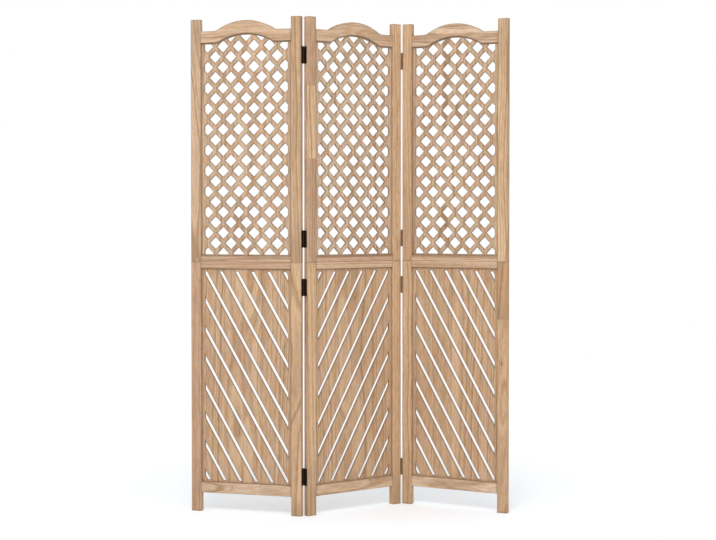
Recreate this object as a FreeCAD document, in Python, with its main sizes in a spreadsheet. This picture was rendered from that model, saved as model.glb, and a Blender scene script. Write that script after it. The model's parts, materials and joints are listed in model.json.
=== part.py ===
import FreeCAD, Part
import Sketcher
import math
import os
import re

# Three-panel folding screen with a fretwork upper half and a slotted lower half

os.makedirs("parts", exist_ok=True)
doc = FreeCAD.newDocument("folding_screen")
sizes = doc.addObject("Spreadsheet::Sheet", "sizes")

# Driving sizes, in millimetres, degrees and plain shares
DIMENSIONS = [
    ("screen_height", "1700"),
    ("panel_width", "400"),
    ("seam_height", "866"),
    ("stile_width", "36"),
    ("stile_thick", "22"),
    ("stile_ease", "2.5"),
    ("rail_setback", "1"),
    ("rail_ease", "1.5"),
    ("top_rail_drop", "41"),
    ("top_rail_depth", "40"),
    ("crown_drop", "7"),
    ("crown_radius", "188"),
    ("crown_sweep", "40"),
    ("arch_drop", "51.5"),
    ("arch_radius", "193"),
    ("arch_sweep", "34"),
    ("upper_mid_rail_height", "20"),
    ("lower_mid_rail_height", "23.4"),
    ("foot_height", "65"),
    ("bottom_rail_height", "37"),
    ("panel_thick", "6"),
    ("tongue_depth", "6"),
    ("groove_depth", "7"),
    ("groove_play", "0.1"),
    ("side_border", "13"),
    ("arch_border", "4"),
    ("lattice_foot_border", "5.4"),
    ("slot_foot_border", "8"),
    ("slot_head_border", "10.6"),
    ("border_overrun", "5"),
    ("lattice_step", "28.1"),
    ("lattice_rise", "35.6"),
    ("lattice_drop", "93.5"),
    ("diamond_half", "21"),
    ("slot_width", "10"),
    ("slot_pitch", "50"),
    ("slot_angle", "60"),
    ("slot_top_level", "1071.4"),
    ("tenon_length", "18"),
    ("tenon_thick", "8"),
    ("tenon_inset", "3"),
    ("tenon_play", "0.1"),
    ("dowel_radius", "3"),
    ("dowel_length", "22"),
    ("dowel_play", "0.05"),
    ("stile_dowel_inset", "11"),
    ("rail_dowel_inset", "70"),
    ("pin_radius", "1.5"),
    ("pin_play", "0.05"),
    ("pin_head_radius", "2.6"),
    ("pin_head_height", "1.2"),
    ("knuckle_radius", "3"),
    ("knuckle_gap", "0.3"),
    ("knuckle_clear", "0.5"),
    ("axis_beyond_edge", "1.5"),
    ("axis_beyond_face", "1.5"),
    ("leaf_height", "58"),
    ("leaf_reach", "17"),
    ("leaf_thick", "1.2"),
    ("top_hinge_height", "1570"),
    ("upper_hinge_height", "945"),
    ("lower_hinge_height", "780"),
    ("bottom_hinge_height", "132"),
    ("screw_radius", "1.4"),
    ("screw_head_radius", "2.8"),
    ("screw_length", "15"),
    ("screw_play", "0.03"),
    ("screw_spacing", "19"),
    ("screw_setback", "11"),
    ("left_turn", "15.9"),
    ("middle_turn", "36"),
    ("right_turn", "27.8"),
    ("left_axis_x", "-156.99"),
    ("left_axis_y", "-107.13"),
]
for row, (alias, value) in enumerate(DIMENSIONS, start=1):
    sizes.set("A%d" % row, alias)
    sizes.set("B%d" % row, value)
    sizes.setAlias("B%d" % row, alias)
doc.recompute()

NAMES = {alias for alias, value in DIMENSIONS}

# Lengths that several pieces share, written as formulas of the cells
MIDDLE = "panel_width / 2"
INNER_RIGHT = "panel_width - stile_width"
BACK_HALF = "stile_thick / 2"
RAIL_BACK = "stile_thick - rail_setback"
GROOVE_WIDTH = "(panel_thick + 2 * groove_play)"
GROOVE_FRONT = "(stile_thick - panel_thick) / 2 - groove_play"
TOP_FLAT = "screen_height - top_rail_drop"
ARCH_FLAT = "screen_height - top_rail_drop - top_rail_depth"
ARCH_CROWN = "screen_height - arch_drop"
LATTICE_FOOT = "seam_height + upper_mid_rail_height"
SLOT_HEAD = "seam_height - lower_mid_rail_height"
SLOT_FOOT = "foot_height + bottom_rail_height"

# Heights of the tenons of each rail, bottom and top
TENONS = {
    "top_rail": ("screen_height - top_rail_drop - top_rail_depth + groove_depth + tenon_inset",
                 "screen_height - top_rail_drop - 2 * tenon_inset"),
    "upper_mid_rail": ("seam_height + tenon_inset",
                       "seam_height + upper_mid_rail_height - groove_depth"),
    "lower_mid_rail": ("seam_height - lower_mid_rail_height + groove_depth + tenon_inset / 2",
                       "seam_height - tenon_inset"),
    "bottom_rail": ("foot_height + 2 * tenon_inset",
                    "foot_height + bottom_rail_height - groove_depth - tenon_inset"),
}
HINGE_HEIGHTS = {
    "top": "top_hinge_height",
    "upper": "upper_hinge_height",
    "lower": "lower_hinge_height",
    "bottom": "bottom_hinge_height",
}


def formula(text):
    """Writes the sheet's name in front of every cell alias."""
    return re.sub(r"[a-z][a-z_]*", lambda word: "sizes." + word.group(0)
                  if word.group(0) in NAMES else word.group(0), text)


def bind(thing, prop, text):
    thing.setExpression(prop, formula(text))


def number(text):
    """Works out a sum of aliases, for a sketch's first guess."""
    total, sign = 0.0, 1
    for word in text.split():
        if word in ("+", "-"):
            sign = 1 if word == "+" else -1
        elif word != "0":
            total += sign * sizes.get(word)
    return total


# Where the two hinge lines stand, and each panel's own corner
RIGHT_AXIS_X = ("left_axis_x + (panel_width + 2 * axis_beyond_edge) * cos(middle_turn)"
                " + (stile_thick + 2 * axis_beyond_face) * sin(middle_turn)")
RIGHT_AXIS_Y = ("left_axis_y + (panel_width + 2 * axis_beyond_edge) * sin(middle_turn)"
                " - (stile_thick + 2 * axis_beyond_face) * cos(middle_turn)")
PANELS = {
    "left": {
        "turn": "-left_turn",
        "x": ("left_axis_x - (panel_width + axis_beyond_edge) * cos(left_turn)"
              " - (stile_thick + axis_beyond_face) * sin(left_turn)"),
        "y": ("left_axis_y + (panel_width + axis_beyond_edge) * sin(left_turn)"
              " - (stile_thick + axis_beyond_face) * cos(left_turn)"),
    },
    "middle": {
        "turn": "middle_turn",
        "x": ("left_axis_x + axis_beyond_edge * cos(middle_turn)"
              " + (stile_thick + axis_beyond_face) * sin(middle_turn)"),
        "y": ("left_axis_y + axis_beyond_edge * sin(middle_turn)"
              " - (stile_thick + axis_beyond_face) * cos(middle_turn)"),
    },
    "right": {
        "turn": "-right_turn",
        "x": (RIGHT_AXIS_X + " + axis_beyond_edge * cos(right_turn)"
              " + axis_beyond_face * sin(right_turn)"),
        "y": (RIGHT_AXIS_Y + " - axis_beyond_edge * sin(right_turn)"
              " + axis_beyond_face * cos(right_turn)"),
    },
}


def place(thing, x, y, z, turn):
    """Stands a piece at its place, turned about the upright."""
    thing.Placement = FreeCAD.Placement(FreeCAD.Vector(), FreeCAD.Rotation(FreeCAD.Vector(0, 0, 1), 0))
    bind(thing, "Placement.Base.x", x)
    bind(thing, "Placement.Base.y", y)
    bind(thing, "Placement.Base.z", z)
    bind(thing, "Placement.Rotation.Angle", turn)


def place_in_panel(thing, panel):
    spot = PANELS[panel]
    place(thing, spot["x"], spot["y"], "0", spot["turn"])


# Sketches and features of the wooden pieces
def new_body(name, panel):
    body = doc.addObject("PartDesign::Body", name)
    body.Label = name
    place_in_panel(body, panel)
    return body


def new_sketch(body, plane, start):
    sketch = body.newObject("Sketcher::SketchObject", body.Name + "_sketch")
    support = [item for item in body.Origin.OriginFeatures if item.Role == plane + "_Plane"][0]
    sketch.AttachmentSupport = (support, [""])
    sketch.MapMode = "FlatFace"
    bind(sketch, "AttachmentOffset.Base.z", "-(%s)" % start if plane == "XZ" else start)
    return sketch


def measure(sketch, kind, geometry, point, text):
    """Holds one point of a sketch at a distance from the origin."""
    spot = sketch.getPoint(geometry, point)
    index = sketch.addConstraint(Sketcher.Constraint(
        kind, -1, 1, geometry, point, spot.x if kind == "DistanceX" else spot.y))
    bind(sketch, "Constraints[%d]" % index, text)


def polygon(sketch, corners):
    """Draws a closed outline through corners given as pairs of formulas."""
    count = len(corners)
    circle = [FreeCAD.Vector(math.cos(2 * math.pi * i / count), math.sin(2 * math.pi * i / count), 0)
              for i in range(count)]
    first = sketch.GeometryCount
    for i in range(count):
        sketch.addGeometry(Part.LineSegment(circle[i], circle[(i + 1) % count]))
    for i, (x, y) in enumerate(corners):
        sketch.addConstraint(Sketcher.Constraint(
            "Coincident", first + (i - 1) % count, 2, first + i, 1))
        measure(sketch, "DistanceX", first + i, 1, x)
        measure(sketch, "DistanceY", first + i, 1, y)


def rectangle(sketch, left, right, low, high):
    polygon(sketch, [(left, low), (right, low), (right, high), (left, high)])


def circle(sketch, x, y, radius):
    geometry = sketch.addGeometry(Part.Circle())
    measure(sketch, "DistanceX", geometry, 3, x)
    measure(sketch, "DistanceY", geometry, 3, y)
    index = sketch.addConstraint(Sketcher.Constraint("Radius", geometry, sizes.stile_ease))
    bind(sketch, "Constraints[%d]" % index, radius)


def eased_rectangle(sketch, left, right, low, high, ease):
    """Draws a rectangle with rounded corners, each side given as a sum of aliases."""
    radius = number(ease)
    spots = [(number(left) + radius, number(low) + radius),
             (number(right) - radius, number(low) + radius),
             (number(right) - radius, number(high) - radius),
             (number(left) + radius, number(high) - radius)]
    arcs, lines = [], []
    for i, (x, y) in enumerate(spots):
        turn = math.pi + i * math.pi / 2
        arcs.append(sketch.addGeometry(Part.ArcOfCircle(
            Part.Circle(FreeCAD.Vector(x, y, 0), FreeCAD.Vector(0, 0, 1), radius),
            turn, turn + math.pi / 2)))
    for i in range(4):
        lines.append(sketch.addGeometry(Part.LineSegment(
            sketch.getPoint(arcs[i], 2), sketch.getPoint(arcs[(i + 1) % 4], 1))))
    for i in range(4):
        sketch.addConstraint(Sketcher.Constraint("Tangent", arcs[i], 2, lines[i], 1))
        sketch.addConstraint(Sketcher.Constraint("Tangent", lines[i], 2, arcs[(i + 1) % 4], 1))
        sketch.addConstraint(Sketcher.Constraint("Vertical" if i % 2 else "Horizontal", lines[i]))
    index = sketch.addConstraint(Sketcher.Constraint("Radius", arcs[0], radius))
    bind(sketch, "Constraints[%d]" % index, ease)
    for i in (1, 2, 3):
        sketch.addConstraint(Sketcher.Constraint("Equal", arcs[0], arcs[i]))
    measure(sketch, "DistanceX", lines[3], 1, left)
    measure(sketch, "DistanceX", lines[1], 1, right)
    measure(sketch, "DistanceY", lines[0], 1, low)
    measure(sketch, "DistanceY", lines[2], 1, high)


def arch(sketch, left, right, low, flat, crown, radius, sweep):
    """Draws an outline whose top rises from two flats through small sweeps to a crown."""
    centre_x = sizes.panel_width / 2
    big, small = number(radius), number(sweep)
    flat_y, crown_y, low_y = number(flat), number(crown), number(low)
    centre_y = crown_y - big
    rise = flat_y + small - centre_y
    reach = math.sqrt((big + small) ** 2 - rise ** 2)
    lean = math.atan2(rise, reach)
    up = FreeCAD.Vector(0, 0, 1)
    left_x, right_x = number(left), number(right)
    spots = [(left_x, low_y), (left_x, flat_y), (centre_x - reach, flat_y),
             (centre_x + reach, flat_y), (right_x, flat_y), (right_x, low_y)]
    points = [FreeCAD.Vector(x, y, 0) for x, y in spots]
    side_in = sketch.addGeometry(Part.LineSegment(points[0], points[1]))
    flat_in = sketch.addGeometry(Part.LineSegment(points[1], points[2]))
    sweep_in = sketch.addGeometry(Part.ArcOfCircle(Part.Circle(
        FreeCAD.Vector(centre_x - reach, flat_y + small, 0), up, small), -math.pi / 2, -lean))
    top = sketch.addGeometry(Part.ArcOfCircle(Part.Circle(
        FreeCAD.Vector(centre_x, centre_y, 0), up, big), lean, math.pi - lean))
    sweep_out = sketch.addGeometry(Part.ArcOfCircle(Part.Circle(
        FreeCAD.Vector(centre_x + reach, flat_y + small, 0), up, small),
        math.pi + lean, 3 * math.pi / 2))
    flat_out = sketch.addGeometry(Part.LineSegment(points[3], points[4]))
    side_out = sketch.addGeometry(Part.LineSegment(points[4], points[5]))
    base = sketch.addGeometry(Part.LineSegment(points[5], points[0]))
    for before, after in ((side_in, flat_in), (flat_out, side_out), (side_out, base), (base, side_in)):
        sketch.addConstraint(Sketcher.Constraint("Coincident", before, 2, after, 1))
    sketch.addConstraint(Sketcher.Constraint("Tangent", flat_in, 2, sweep_in, 1))
    sketch.addConstraint(Sketcher.Constraint("Tangent", sweep_in, 2, top, 2))
    sketch.addConstraint(Sketcher.Constraint("Tangent", top, 1, sweep_out, 1))
    sketch.addConstraint(Sketcher.Constraint("Tangent", sweep_out, 2, flat_out, 1))
    for line in (flat_in, flat_out, base):
        sketch.addConstraint(Sketcher.Constraint("Horizontal", line))
    for line in (side_in, side_out):
        sketch.addConstraint(Sketcher.Constraint("Vertical", line))
    measure(sketch, "DistanceX", side_in, 1, left)
    measure(sketch, "DistanceX", side_out, 1, right)
    measure(sketch, "DistanceY", base, 1, low)
    measure(sketch, "DistanceY", flat_in, 1, flat)
    measure(sketch, "DistanceY", flat_out, 2, flat)
    measure(sketch, "DistanceX", top, 3, MIDDLE)
    measure(sketch, "DistanceY", top, 3, "%s - (%s)" % (crown, radius))
    for arc, text in ((top, radius), (sweep_in, sweep), (sweep_out, sweep)):
        index = sketch.addConstraint(Sketcher.Constraint("Radius", arc, number(text)))
        bind(sketch, "Constraints[%d]" % index, text)


def extrude(body, plane, sketch, length, cut=False):
    kind = "PartDesign::Pocket" if cut else "PartDesign::Pad"
    feature = body.newObject(kind, body.Name + ("_pocket" if cut else "_pad"))
    feature.Profile = sketch
    bind(feature, "Length", length)
    feature.Reversed = (plane == "XZ") != cut
    sketch.Visibility = False
    return feature


def box_feature(body, plane, start, length, left, right, low, high, cut=False):
    sketch = new_sketch(body, plane, start)
    rectangle(sketch, left, right, low, high)
    return extrude(body, plane, sketch, length, cut)


def pattern(body, feature, axis, length, count):
    """Repeats a cut downwards."""
    row = body.newObject("PartDesign::LinearPattern", body.Name + "_rows")
    row.Originals = [feature]
    direction = [item for item in body.Origin.OriginFeatures if item.Role == axis + "_Axis"][0]
    row.Direction = (direction, [""])
    row.Reversed = True
    bind(row, "Length", length)
    row.Occurrences = count
    body.Tip = row
    return row


# Stiles, with mortises, a panel groove, dowel holes and hinge screw holes
def mortise(body, side, rail):
    low, high = TENONS[rail]
    start = "stile_width - tenon_length - 2 * tenon_play" if side == "left" else "0"
    shift = "" if side == "left" else INNER_RIGHT + " + "
    box_feature(body, "YZ", shift + start, "tenon_length + 2 * tenon_play",
                "(stile_thick - tenon_thick) / 2 - tenon_play",
                "(stile_thick + tenon_thick) / 2 + tenon_play",
                low + " - tenon_play", high + " + tenon_play", cut=True)


def screw_row(sketch, across, height):
    for step in (-1, 0, 1):
        circle(sketch, across, "%s + %d * screw_spacing" % (height, step), "screw_radius + screw_play")


def stile(panel, level, side, hinge_face):
    body = new_body("%s_%s_%s_stile" % (panel, level, side), panel)
    near = "0" if side == "left" else INNER_RIGHT
    far = "stile_width" if side == "left" else "panel_width"
    low = "seam_height" if level == "upper" else "0"
    length = "screen_height - seam_height" if level == "upper" else "seam_height"
    sketch = new_sketch(body, "XY", low)
    eased_rectangle(sketch, near, far, "0", "stile_thick", "stile_ease")
    extrude(body, "XY", sketch, length)
    groove_left = "stile_width - groove_depth" if side == "left" else INNER_RIGHT
    groove_right = "stile_width" if side == "left" else INNER_RIGHT + " + groove_depth"
    if level == "upper":
        groove_low = LATTICE_FOOT + " - groove_depth"
        groove_high = ARCH_FLAT + " + groove_depth"
        rails = ("top_rail", "upper_mid_rail")
        hinges = ("top", "upper")
    else:
        groove_low = SLOT_FOOT + " - groove_depth"
        groove_high = SLOT_HEAD + " + groove_depth"
        rails = ("lower_mid_rail", "bottom_rail")
        hinges = ("lower", "bottom")
    box_feature(body, "YZ", groove_left, "groove_depth", GROOVE_FRONT,
                GROOVE_FRONT + " + " + GROOVE_WIDTH, groove_low, groove_high, cut=True)
    for rail in rails:
        mortise(body, side, rail)
    hole = new_sketch(body, "XY", "seam_height" if level == "upper"
                      else "seam_height - dowel_length / 2 - dowel_play")
    circle(hole, "stile_dowel_inset" if side == "left" else "panel_width - stile_dowel_inset",
           BACK_HALF, "dowel_radius + dowel_play")
    extrude(body, "XY", hole, "dowel_length / 2 + dowel_play", cut=True)
    if hinge_face:
        across = ("stile_thick + axis_beyond_face - screw_setback" if hinge_face == "back"
                  else "screw_setback - axis_beyond_face")
        holes = new_sketch(body, "YZ", "0" if side == "left" else "panel_width - screw_length")
        for hinge in hinges:
            screw_row(holes, across, HINGE_HEIGHTS[hinge])
        extrude(body, "YZ", holes, "screw_length", cut=True)
    return body


# Rails
def add_tenons(body, rail):
    low, high = TENONS[rail]
    for start in ("stile_width - tenon_length", INNER_RIGHT):
        box_feature(body, "YZ", start, "tenon_length", "(stile_thick - tenon_thick) / 2",
                    "(stile_thick + tenon_thick) / 2", low, high)


def straight_rail(panel, name, low, high, groove_side, dowel_side):
    body = new_body("%s_%s" % (panel, name), panel)
    sketch = new_sketch(body, "YZ", "stile_width")
    eased_rectangle(sketch, "rail_setback", RAIL_BACK, low, high, "rail_ease")
    extrude(body, "YZ", sketch, "panel_width - 2 * stile_width")
    groove_low = low if groove_side == "low" else high + " - groove_depth"
    groove_high = low + " + groove_depth" if groove_side == "low" else high
    box_feature(body, "YZ", "stile_width", "panel_width - 2 * stile_width", GROOVE_FRONT,
                GROOVE_FRONT + " + " + GROOVE_WIDTH, groove_low, groove_high, cut=True)
    add_tenons(body, name)
    if dowel_side:
        start = low if dowel_side == "low" else high + " - dowel_length / 2 - dowel_play"
        holes = new_sketch(body, "XY", start)
        for x in ("stile_width + rail_dowel_inset", INNER_RIGHT + " - rail_dowel_inset"):
            circle(holes, x, BACK_HALF, "dowel_radius + dowel_play")
        extrude(body, "XY", holes, "dowel_length / 2 + dowel_play", cut=True)
    return body


def arch_rail(panel):
    body = new_body("%s_top_rail" % panel, panel)
    sketch = new_sketch(body, "XZ", "rail_setback")
    arch(sketch, "stile_width", INNER_RIGHT,
         ARCH_FLAT + " - border_overrun", TOP_FLAT, "screen_height - crown_drop",
         "crown_radius", "crown_sweep")
    extrude(body, "XZ", sketch, "stile_thick - 2 * rail_setback")
    below = new_sketch(body, "XZ", "0")
    arch(below, "stile_width - border_overrun", INNER_RIGHT + " + border_overrun",
         ARCH_FLAT + " - border_overrun - border_overrun", ARCH_FLAT, ARCH_CROWN,
         "arch_radius", "arch_sweep")
    extrude(body, "XZ", below, "stile_thick", cut=True)
    groove = new_sketch(body, "XZ", GROOVE_FRONT)
    arch(groove, "stile_width", INNER_RIGHT, ARCH_FLAT + " - border_overrun",
         ARCH_FLAT + " + groove_depth", ARCH_CROWN + " + groove_depth",
         "arch_radius + groove_depth", "arch_sweep - groove_depth")
    extrude(body, "XZ", groove, GROOVE_WIDTH, cut=True)
    add_tenons(body, "top_rail")
    return body


# Fretwork panel of diamonds and slotted panel, each with a plain border
PANEL_FRONT = "(stile_thick - panel_thick) / 2"
WINDOW_LEFT = "stile_width + side_border"
WINDOW_RIGHT = "panel_width - stile_width - side_border"


def diamond_row(body, start_step, count, level):
    sketch = new_sketch(body, "XZ", PANEL_FRONT)
    for i in range(count):
        x = "%s + %d * lattice_step" % (MIDDLE, start_step + 2 * i)
        polygon(sketch, [(x + " - diamond_half", level), (x, level + " - diamond_half"),
                         (x + " + diamond_half", level), (x, level + " + diamond_half")])
    return extrude(body, "XZ", sketch, "panel_thick", cut=True)


def lattice_outline(sketch, grow):
    arch(sketch, "stile_width - tongue_depth" if grow else WINDOW_LEFT,
         "panel_width - stile_width + tongue_depth" if grow else WINDOW_RIGHT,
         LATTICE_FOOT + (" - tongue_depth" if grow else " + lattice_foot_border"),
         ARCH_FLAT + (" + tongue_depth" if grow else " - arch_border"),
         ARCH_CROWN + (" + tongue_depth" if grow else " - arch_border"),
         "arch_radius" + (" + tongue_depth" if grow else " - arch_border"),
         "arch_sweep" + (" - tongue_depth" if grow else " + arch_border"))


def lattice_panel(panel):
    body = new_body("%s_lattice_panel" % panel, panel)
    sketch = new_sketch(body, "XZ", PANEL_FRONT)
    lattice_outline(sketch, True)
    extrude(body, "XZ", sketch, "panel_thick")
    wide = diamond_row(body, -5, 6, "screen_height - lattice_drop")
    pattern(body, wide, "Z", "20 * lattice_rise", 11)
    narrow = diamond_row(body, -4, 5, "screen_height - lattice_drop + lattice_rise")
    pattern(body, narrow, "Z", "20 * lattice_rise", 11)
    border = new_sketch(body, "XZ", PANEL_FRONT)
    lattice_outline(border, True)
    lattice_outline(border, False)
    extrude(body, "XZ", border, "panel_thick")
    return body


def slotted_panel(panel):
    body = new_body("%s_slotted_panel" % panel, panel)
    low, high = SLOT_FOOT + " - tongue_depth", SLOT_HEAD + " + tongue_depth"
    left, right = "stile_width - tongue_depth", "panel_width - stile_width + tongue_depth"
    box_feature(body, "XZ", PANEL_FRONT, "panel_thick", left, right, low, high)
    ends = [WINDOW_LEFT + " - border_overrun", WINDOW_RIGHT + " + border_overrun"]
    half = "slot_width / (2 * cos(slot_angle))"
    fall = "tan(slot_angle) * (panel_width / 2 - stile_width - side_border + border_overrun)"
    above, under = "slot_top_level + " + fall, "slot_top_level - " + fall
    heights = [under, above] if panel == "middle" else [above, under]
    slot = new_sketch(body, "XZ", PANEL_FRONT)
    polygon(slot, [(ends[0], heights[0] + " - " + half), (ends[1], heights[1] + " - " + half),
                   (ends[1], heights[1] + " + " + half), (ends[0], heights[0] + " + " + half)])
    first = extrude(body, "XZ", slot, "panel_thick", cut=True)
    pattern(body, first, "Z", "12 * slot_pitch / cos(slot_angle)", 13)
    border = new_sketch(body, "XZ", PANEL_FRONT)
    rectangle(border, left, right, low, high)
    rectangle(border, WINDOW_LEFT, WINDOW_RIGHT, SLOT_FOOT + " + slot_foot_border",
              SLOT_HEAD + " - slot_head_border")
    extrude(body, "XZ", border, "panel_thick")
    return body


# Turned and bent pieces made of simple solids
def cylinder(name, radius, height, x="0", y="0", z="0"):
    solid = doc.addObject("Part::Cylinder", name)
    bind(solid, "Radius", radius)
    bind(solid, "Height", height)
    for axis, value in zip("xyz", (x, y, z)):
        bind(solid, "Placement.Base." + axis, value)
    return solid


def block(name, length, width, height, x, y, z):
    solid = doc.addObject("Part::Box", name)
    for prop, value in (("Length", length), ("Width", width), ("Height", height)):
        bind(solid, prop, value)
    for axis, value in zip("xyz", (x, y, z)):
        bind(solid, "Placement.Base." + axis, value)
    return solid


def fuse(name, solids):
    joined = doc.addObject("Part::MultiFuse", name)
    joined.Shapes = solids
    return joined


def group(name, solids):
    together = doc.addObject("Part::Compound", name)
    together.Label = name
    together.Links = solids
    return together


def dowels(panel):
    solids = []
    for i, x in enumerate(("stile_dowel_inset", "panel_width - stile_dowel_inset",
                           "stile_width + rail_dowel_inset",
                           "panel_width - stile_width - rail_dowel_inset"), start=1):
        solids.append(cylinder("%s_dowel_%d" % (panel, i), "dowel_radius", "dowel_length",
                               x, BACK_HALF, "seam_height - dowel_length / 2"))
    together = group("%s_dowels" % panel, solids)
    place_in_panel(together, panel)
    return together


# Hinges, drawn about their pin with the leaf on the -X or the +X side of it
KNUCKLES = 5
JOINTS = {
    "left": {"x": "left_axis_x", "y": "left_axis_y", "outer": "left", "flip": ""},
    "right": {"x": RIGHT_AXIS_X, "y": RIGHT_AXIS_Y, "outer": "right", "flip": "180 + "},
}


def screw_cone(name, radius_play, sign, z):
    """Makes the countersunk head lying along X, wide at the open face of the leaf."""
    head = doc.addObject("Part::Cone", name)
    bind(head, "Radius1", "screw_head_radius + " + radius_play)
    bind(head, "Radius2", "screw_radius + " + radius_play)
    bind(head, "Height", "leaf_thick")
    head.Placement = FreeCAD.Placement(FreeCAD.Vector(), FreeCAD.Rotation(
        FreeCAD.Vector(0, 1, 0), -90 * sign))
    bind(head, "Placement.Base.x", "%d * (leaf_thick - axis_beyond_edge)" % sign)
    bind(head, "Placement.Base.y", "-screw_setback")
    bind(head, "Placement.Base.z", z)
    return head


def screw_shank(name, radius, length, sign, z):
    shank = doc.addObject("Part::Cylinder", name)
    bind(shank, "Radius", radius)
    bind(shank, "Height", length)
    shank.Placement = FreeCAD.Placement(FreeCAD.Vector(), FreeCAD.Rotation(
        FreeCAD.Vector(0, 1, 0), -90 * sign))
    bind(shank, "Placement.Base.x", "%d * (leaf_thick - axis_beyond_edge)" % sign)
    bind(shank, "Placement.Base.y", "-screw_setback")
    bind(shank, "Placement.Base.z", z)
    return shank


def hinge_leaf(joint, height_name, outer):
    """Makes one leaf, whose plate lies on a stile edge and curls into knuckles."""
    role = "outer" if outer else "inner"
    name = "%s_hinge_%s_%s_leaf" % (joint, height_name, role)
    sign = 1 if outer else -1
    step = "leaf_height / %d" % KNUCKLES
    plate_x = "-axis_beyond_edge" if outer else "axis_beyond_edge - leaf_thick"
    added = [block(name + "_plate", "leaf_thick", "leaf_reach + axis_beyond_face", "leaf_height",
                   plate_x, "-leaf_reach - axis_beyond_face", "0")]
    removed = []
    for i in range(KNUCKLES):
        low = "%s * %d" % (step, i)
        if (i % 2 == 0) == outer:
            ends = [end for end in (i > 0, i < KNUCKLES - 1)]
            added.append(cylinder("%s_knuckle_%d" % (name, i), "knuckle_radius",
                                  "%s - knuckle_gap * %d / 2" % (step, sum(ends)), "0", "0",
                                  low + (" + knuckle_gap / 2" if ends[0] else "")))
        else:
            removed.append(block("%s_notch_%d" % (name, i), "2 * knuckle_radius",
                                 "2 * (knuckle_radius + knuckle_clear)",
                                 "%s + knuckle_gap" % step, "-knuckle_radius",
                                 "-knuckle_radius - knuckle_clear",
                                 low + " - knuckle_gap / 2"))
    bore = "pin_radius" if outer else "pin_radius + pin_play"
    removed.append(cylinder(name + "_bore", bore, "leaf_height"))
    for i in (-1, 0, 1):
        z = "leaf_height / 2 + %d * screw_spacing" % i
        removed.append(screw_cone("%s_sink_%d" % (name, i + 1), "screw_play", sign, z))
    leaf = doc.addObject("Part::Cut", name)
    leaf.Label = name
    leaf.Base = fuse(name + "_blank", added)
    leaf.Tool = fuse(name + "_holes", removed)
    place_at_joint(leaf, joint, outer, HINGE_HEIGHTS[height_name] + " - leaf_height / 2")
    return leaf


def place_at_joint(thing, joint, outer, z):
    spot = JOINTS[joint]
    panel = spot["outer"] if outer else "middle"
    place(thing, spot["x"], spot["y"], z, spot["flip"] + "(" + PANELS[panel]["turn"] + ")")


def hinge_screws(joint, outer):
    role = "outer" if outer else "inner"
    sign = 1 if outer else -1
    name = "%s_hinge_%s_screws" % (joint, role)
    solids = []
    for height_name, height in HINGE_HEIGHTS.items():
        for i in (-1, 0, 1):
            z = "%s + %d * screw_spacing" % (height, i)
            tag = "%s_%s_%d" % (name, height_name, i + 1)
            solids.append(fuse(tag, [
                screw_cone(tag + "_head", "0", sign, z),
                screw_shank(tag + "_shank", "screw_radius",
                            "leaf_thick + screw_length - screw_play", sign, z)]))
    together = group(name, solids)
    place_at_joint(together, joint, outer, "0")
    return together


def hinge_pins(joint):
    name = "%s_hinge_pins" % joint
    solids = []
    for height_name, height in HINGE_HEIGHTS.items():
        low = "%s - leaf_height / 2" % height
        solids.append(fuse("%s_%s" % (name, height_name), [
            cylinder("%s_%s_rod" % (name, height_name), "pin_radius", "leaf_height", "0", "0", low),
            cylinder("%s_%s_head" % (name, height_name), "pin_head_radius", "pin_head_height",
                     "0", "0", low + " + leaf_height")]))
    together = group(name, solids)
    place_at_joint(together, joint, True, "0")
    return together


# Every piece of the screen
nodes = []
HINGED = {("left", "right"): "back", ("middle", "left"): "back",
          ("middle", "right"): "front", ("right", "left"): "front"}
for panel in PANELS:
    for side in ("left", "right"):
        for level in ("upper", "lower"):
            nodes.append(stile(panel, level, side, HINGED.get((panel, side))))
    nodes.append(arch_rail(panel))
    nodes.append(straight_rail(panel, "upper_mid_rail", "seam_height", LATTICE_FOOT, "high", "low"))
    nodes.append(lattice_panel(panel))
    nodes.append(straight_rail(panel, "lower_mid_rail", SLOT_HEAD, "seam_height", "low", "high"))
    nodes.append(straight_rail(panel, "bottom_rail", "foot_height", SLOT_FOOT, "high", None))
    nodes.append(slotted_panel(panel))
    nodes.append(dowels(panel))
for joint in JOINTS:
    for height_name in HINGE_HEIGHTS:
        nodes.append(hinge_leaf(joint, height_name, True))
        nodes.append(hinge_leaf(joint, height_name, False))
    nodes.append(hinge_screws(joint, True))
    nodes.append(hinge_screws(joint, False))
    nodes.append(hinge_pins(joint))
doc.recompute()

# Checks and one STEP file for each piece
for item in doc.Objects:
    if "Invalid" in item.State or "Error" in item.State:
        raise RuntimeError("%s did not rebuild: %s" % (item.Label, item.State))
for node in nodes:
    shape = node.Shape
    if shape.isNull() or not shape.isValid() or not shape.Solids:
        raise RuntimeError("%s has no sound solid" % node.Label)
    shape.exportStep("parts/%s.step" % node.Label)
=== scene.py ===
import json
import math
import random

import bmesh
import bpy
from bpy.props import FloatProperty, FloatVectorProperty, IntProperty, PointerProperty
from mathutils import Matrix, Vector


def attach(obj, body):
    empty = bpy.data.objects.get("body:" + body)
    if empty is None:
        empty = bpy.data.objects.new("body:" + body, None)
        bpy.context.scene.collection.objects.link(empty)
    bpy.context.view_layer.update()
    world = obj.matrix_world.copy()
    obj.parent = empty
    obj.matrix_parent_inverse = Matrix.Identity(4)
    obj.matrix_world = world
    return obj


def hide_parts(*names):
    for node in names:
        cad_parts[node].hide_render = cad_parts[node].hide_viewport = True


bl_info = {
    "name": "Folding Fretwork Screen",
    "version": (1, 0, 0),
    "blender": (4, 5, 0),
    "location": "3D View > Sidebar > Screen",
    "description": "Finishes a three-panel wooden screen: boards, grain, hinges, screws and studio",
    "category": "Object",
}

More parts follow.
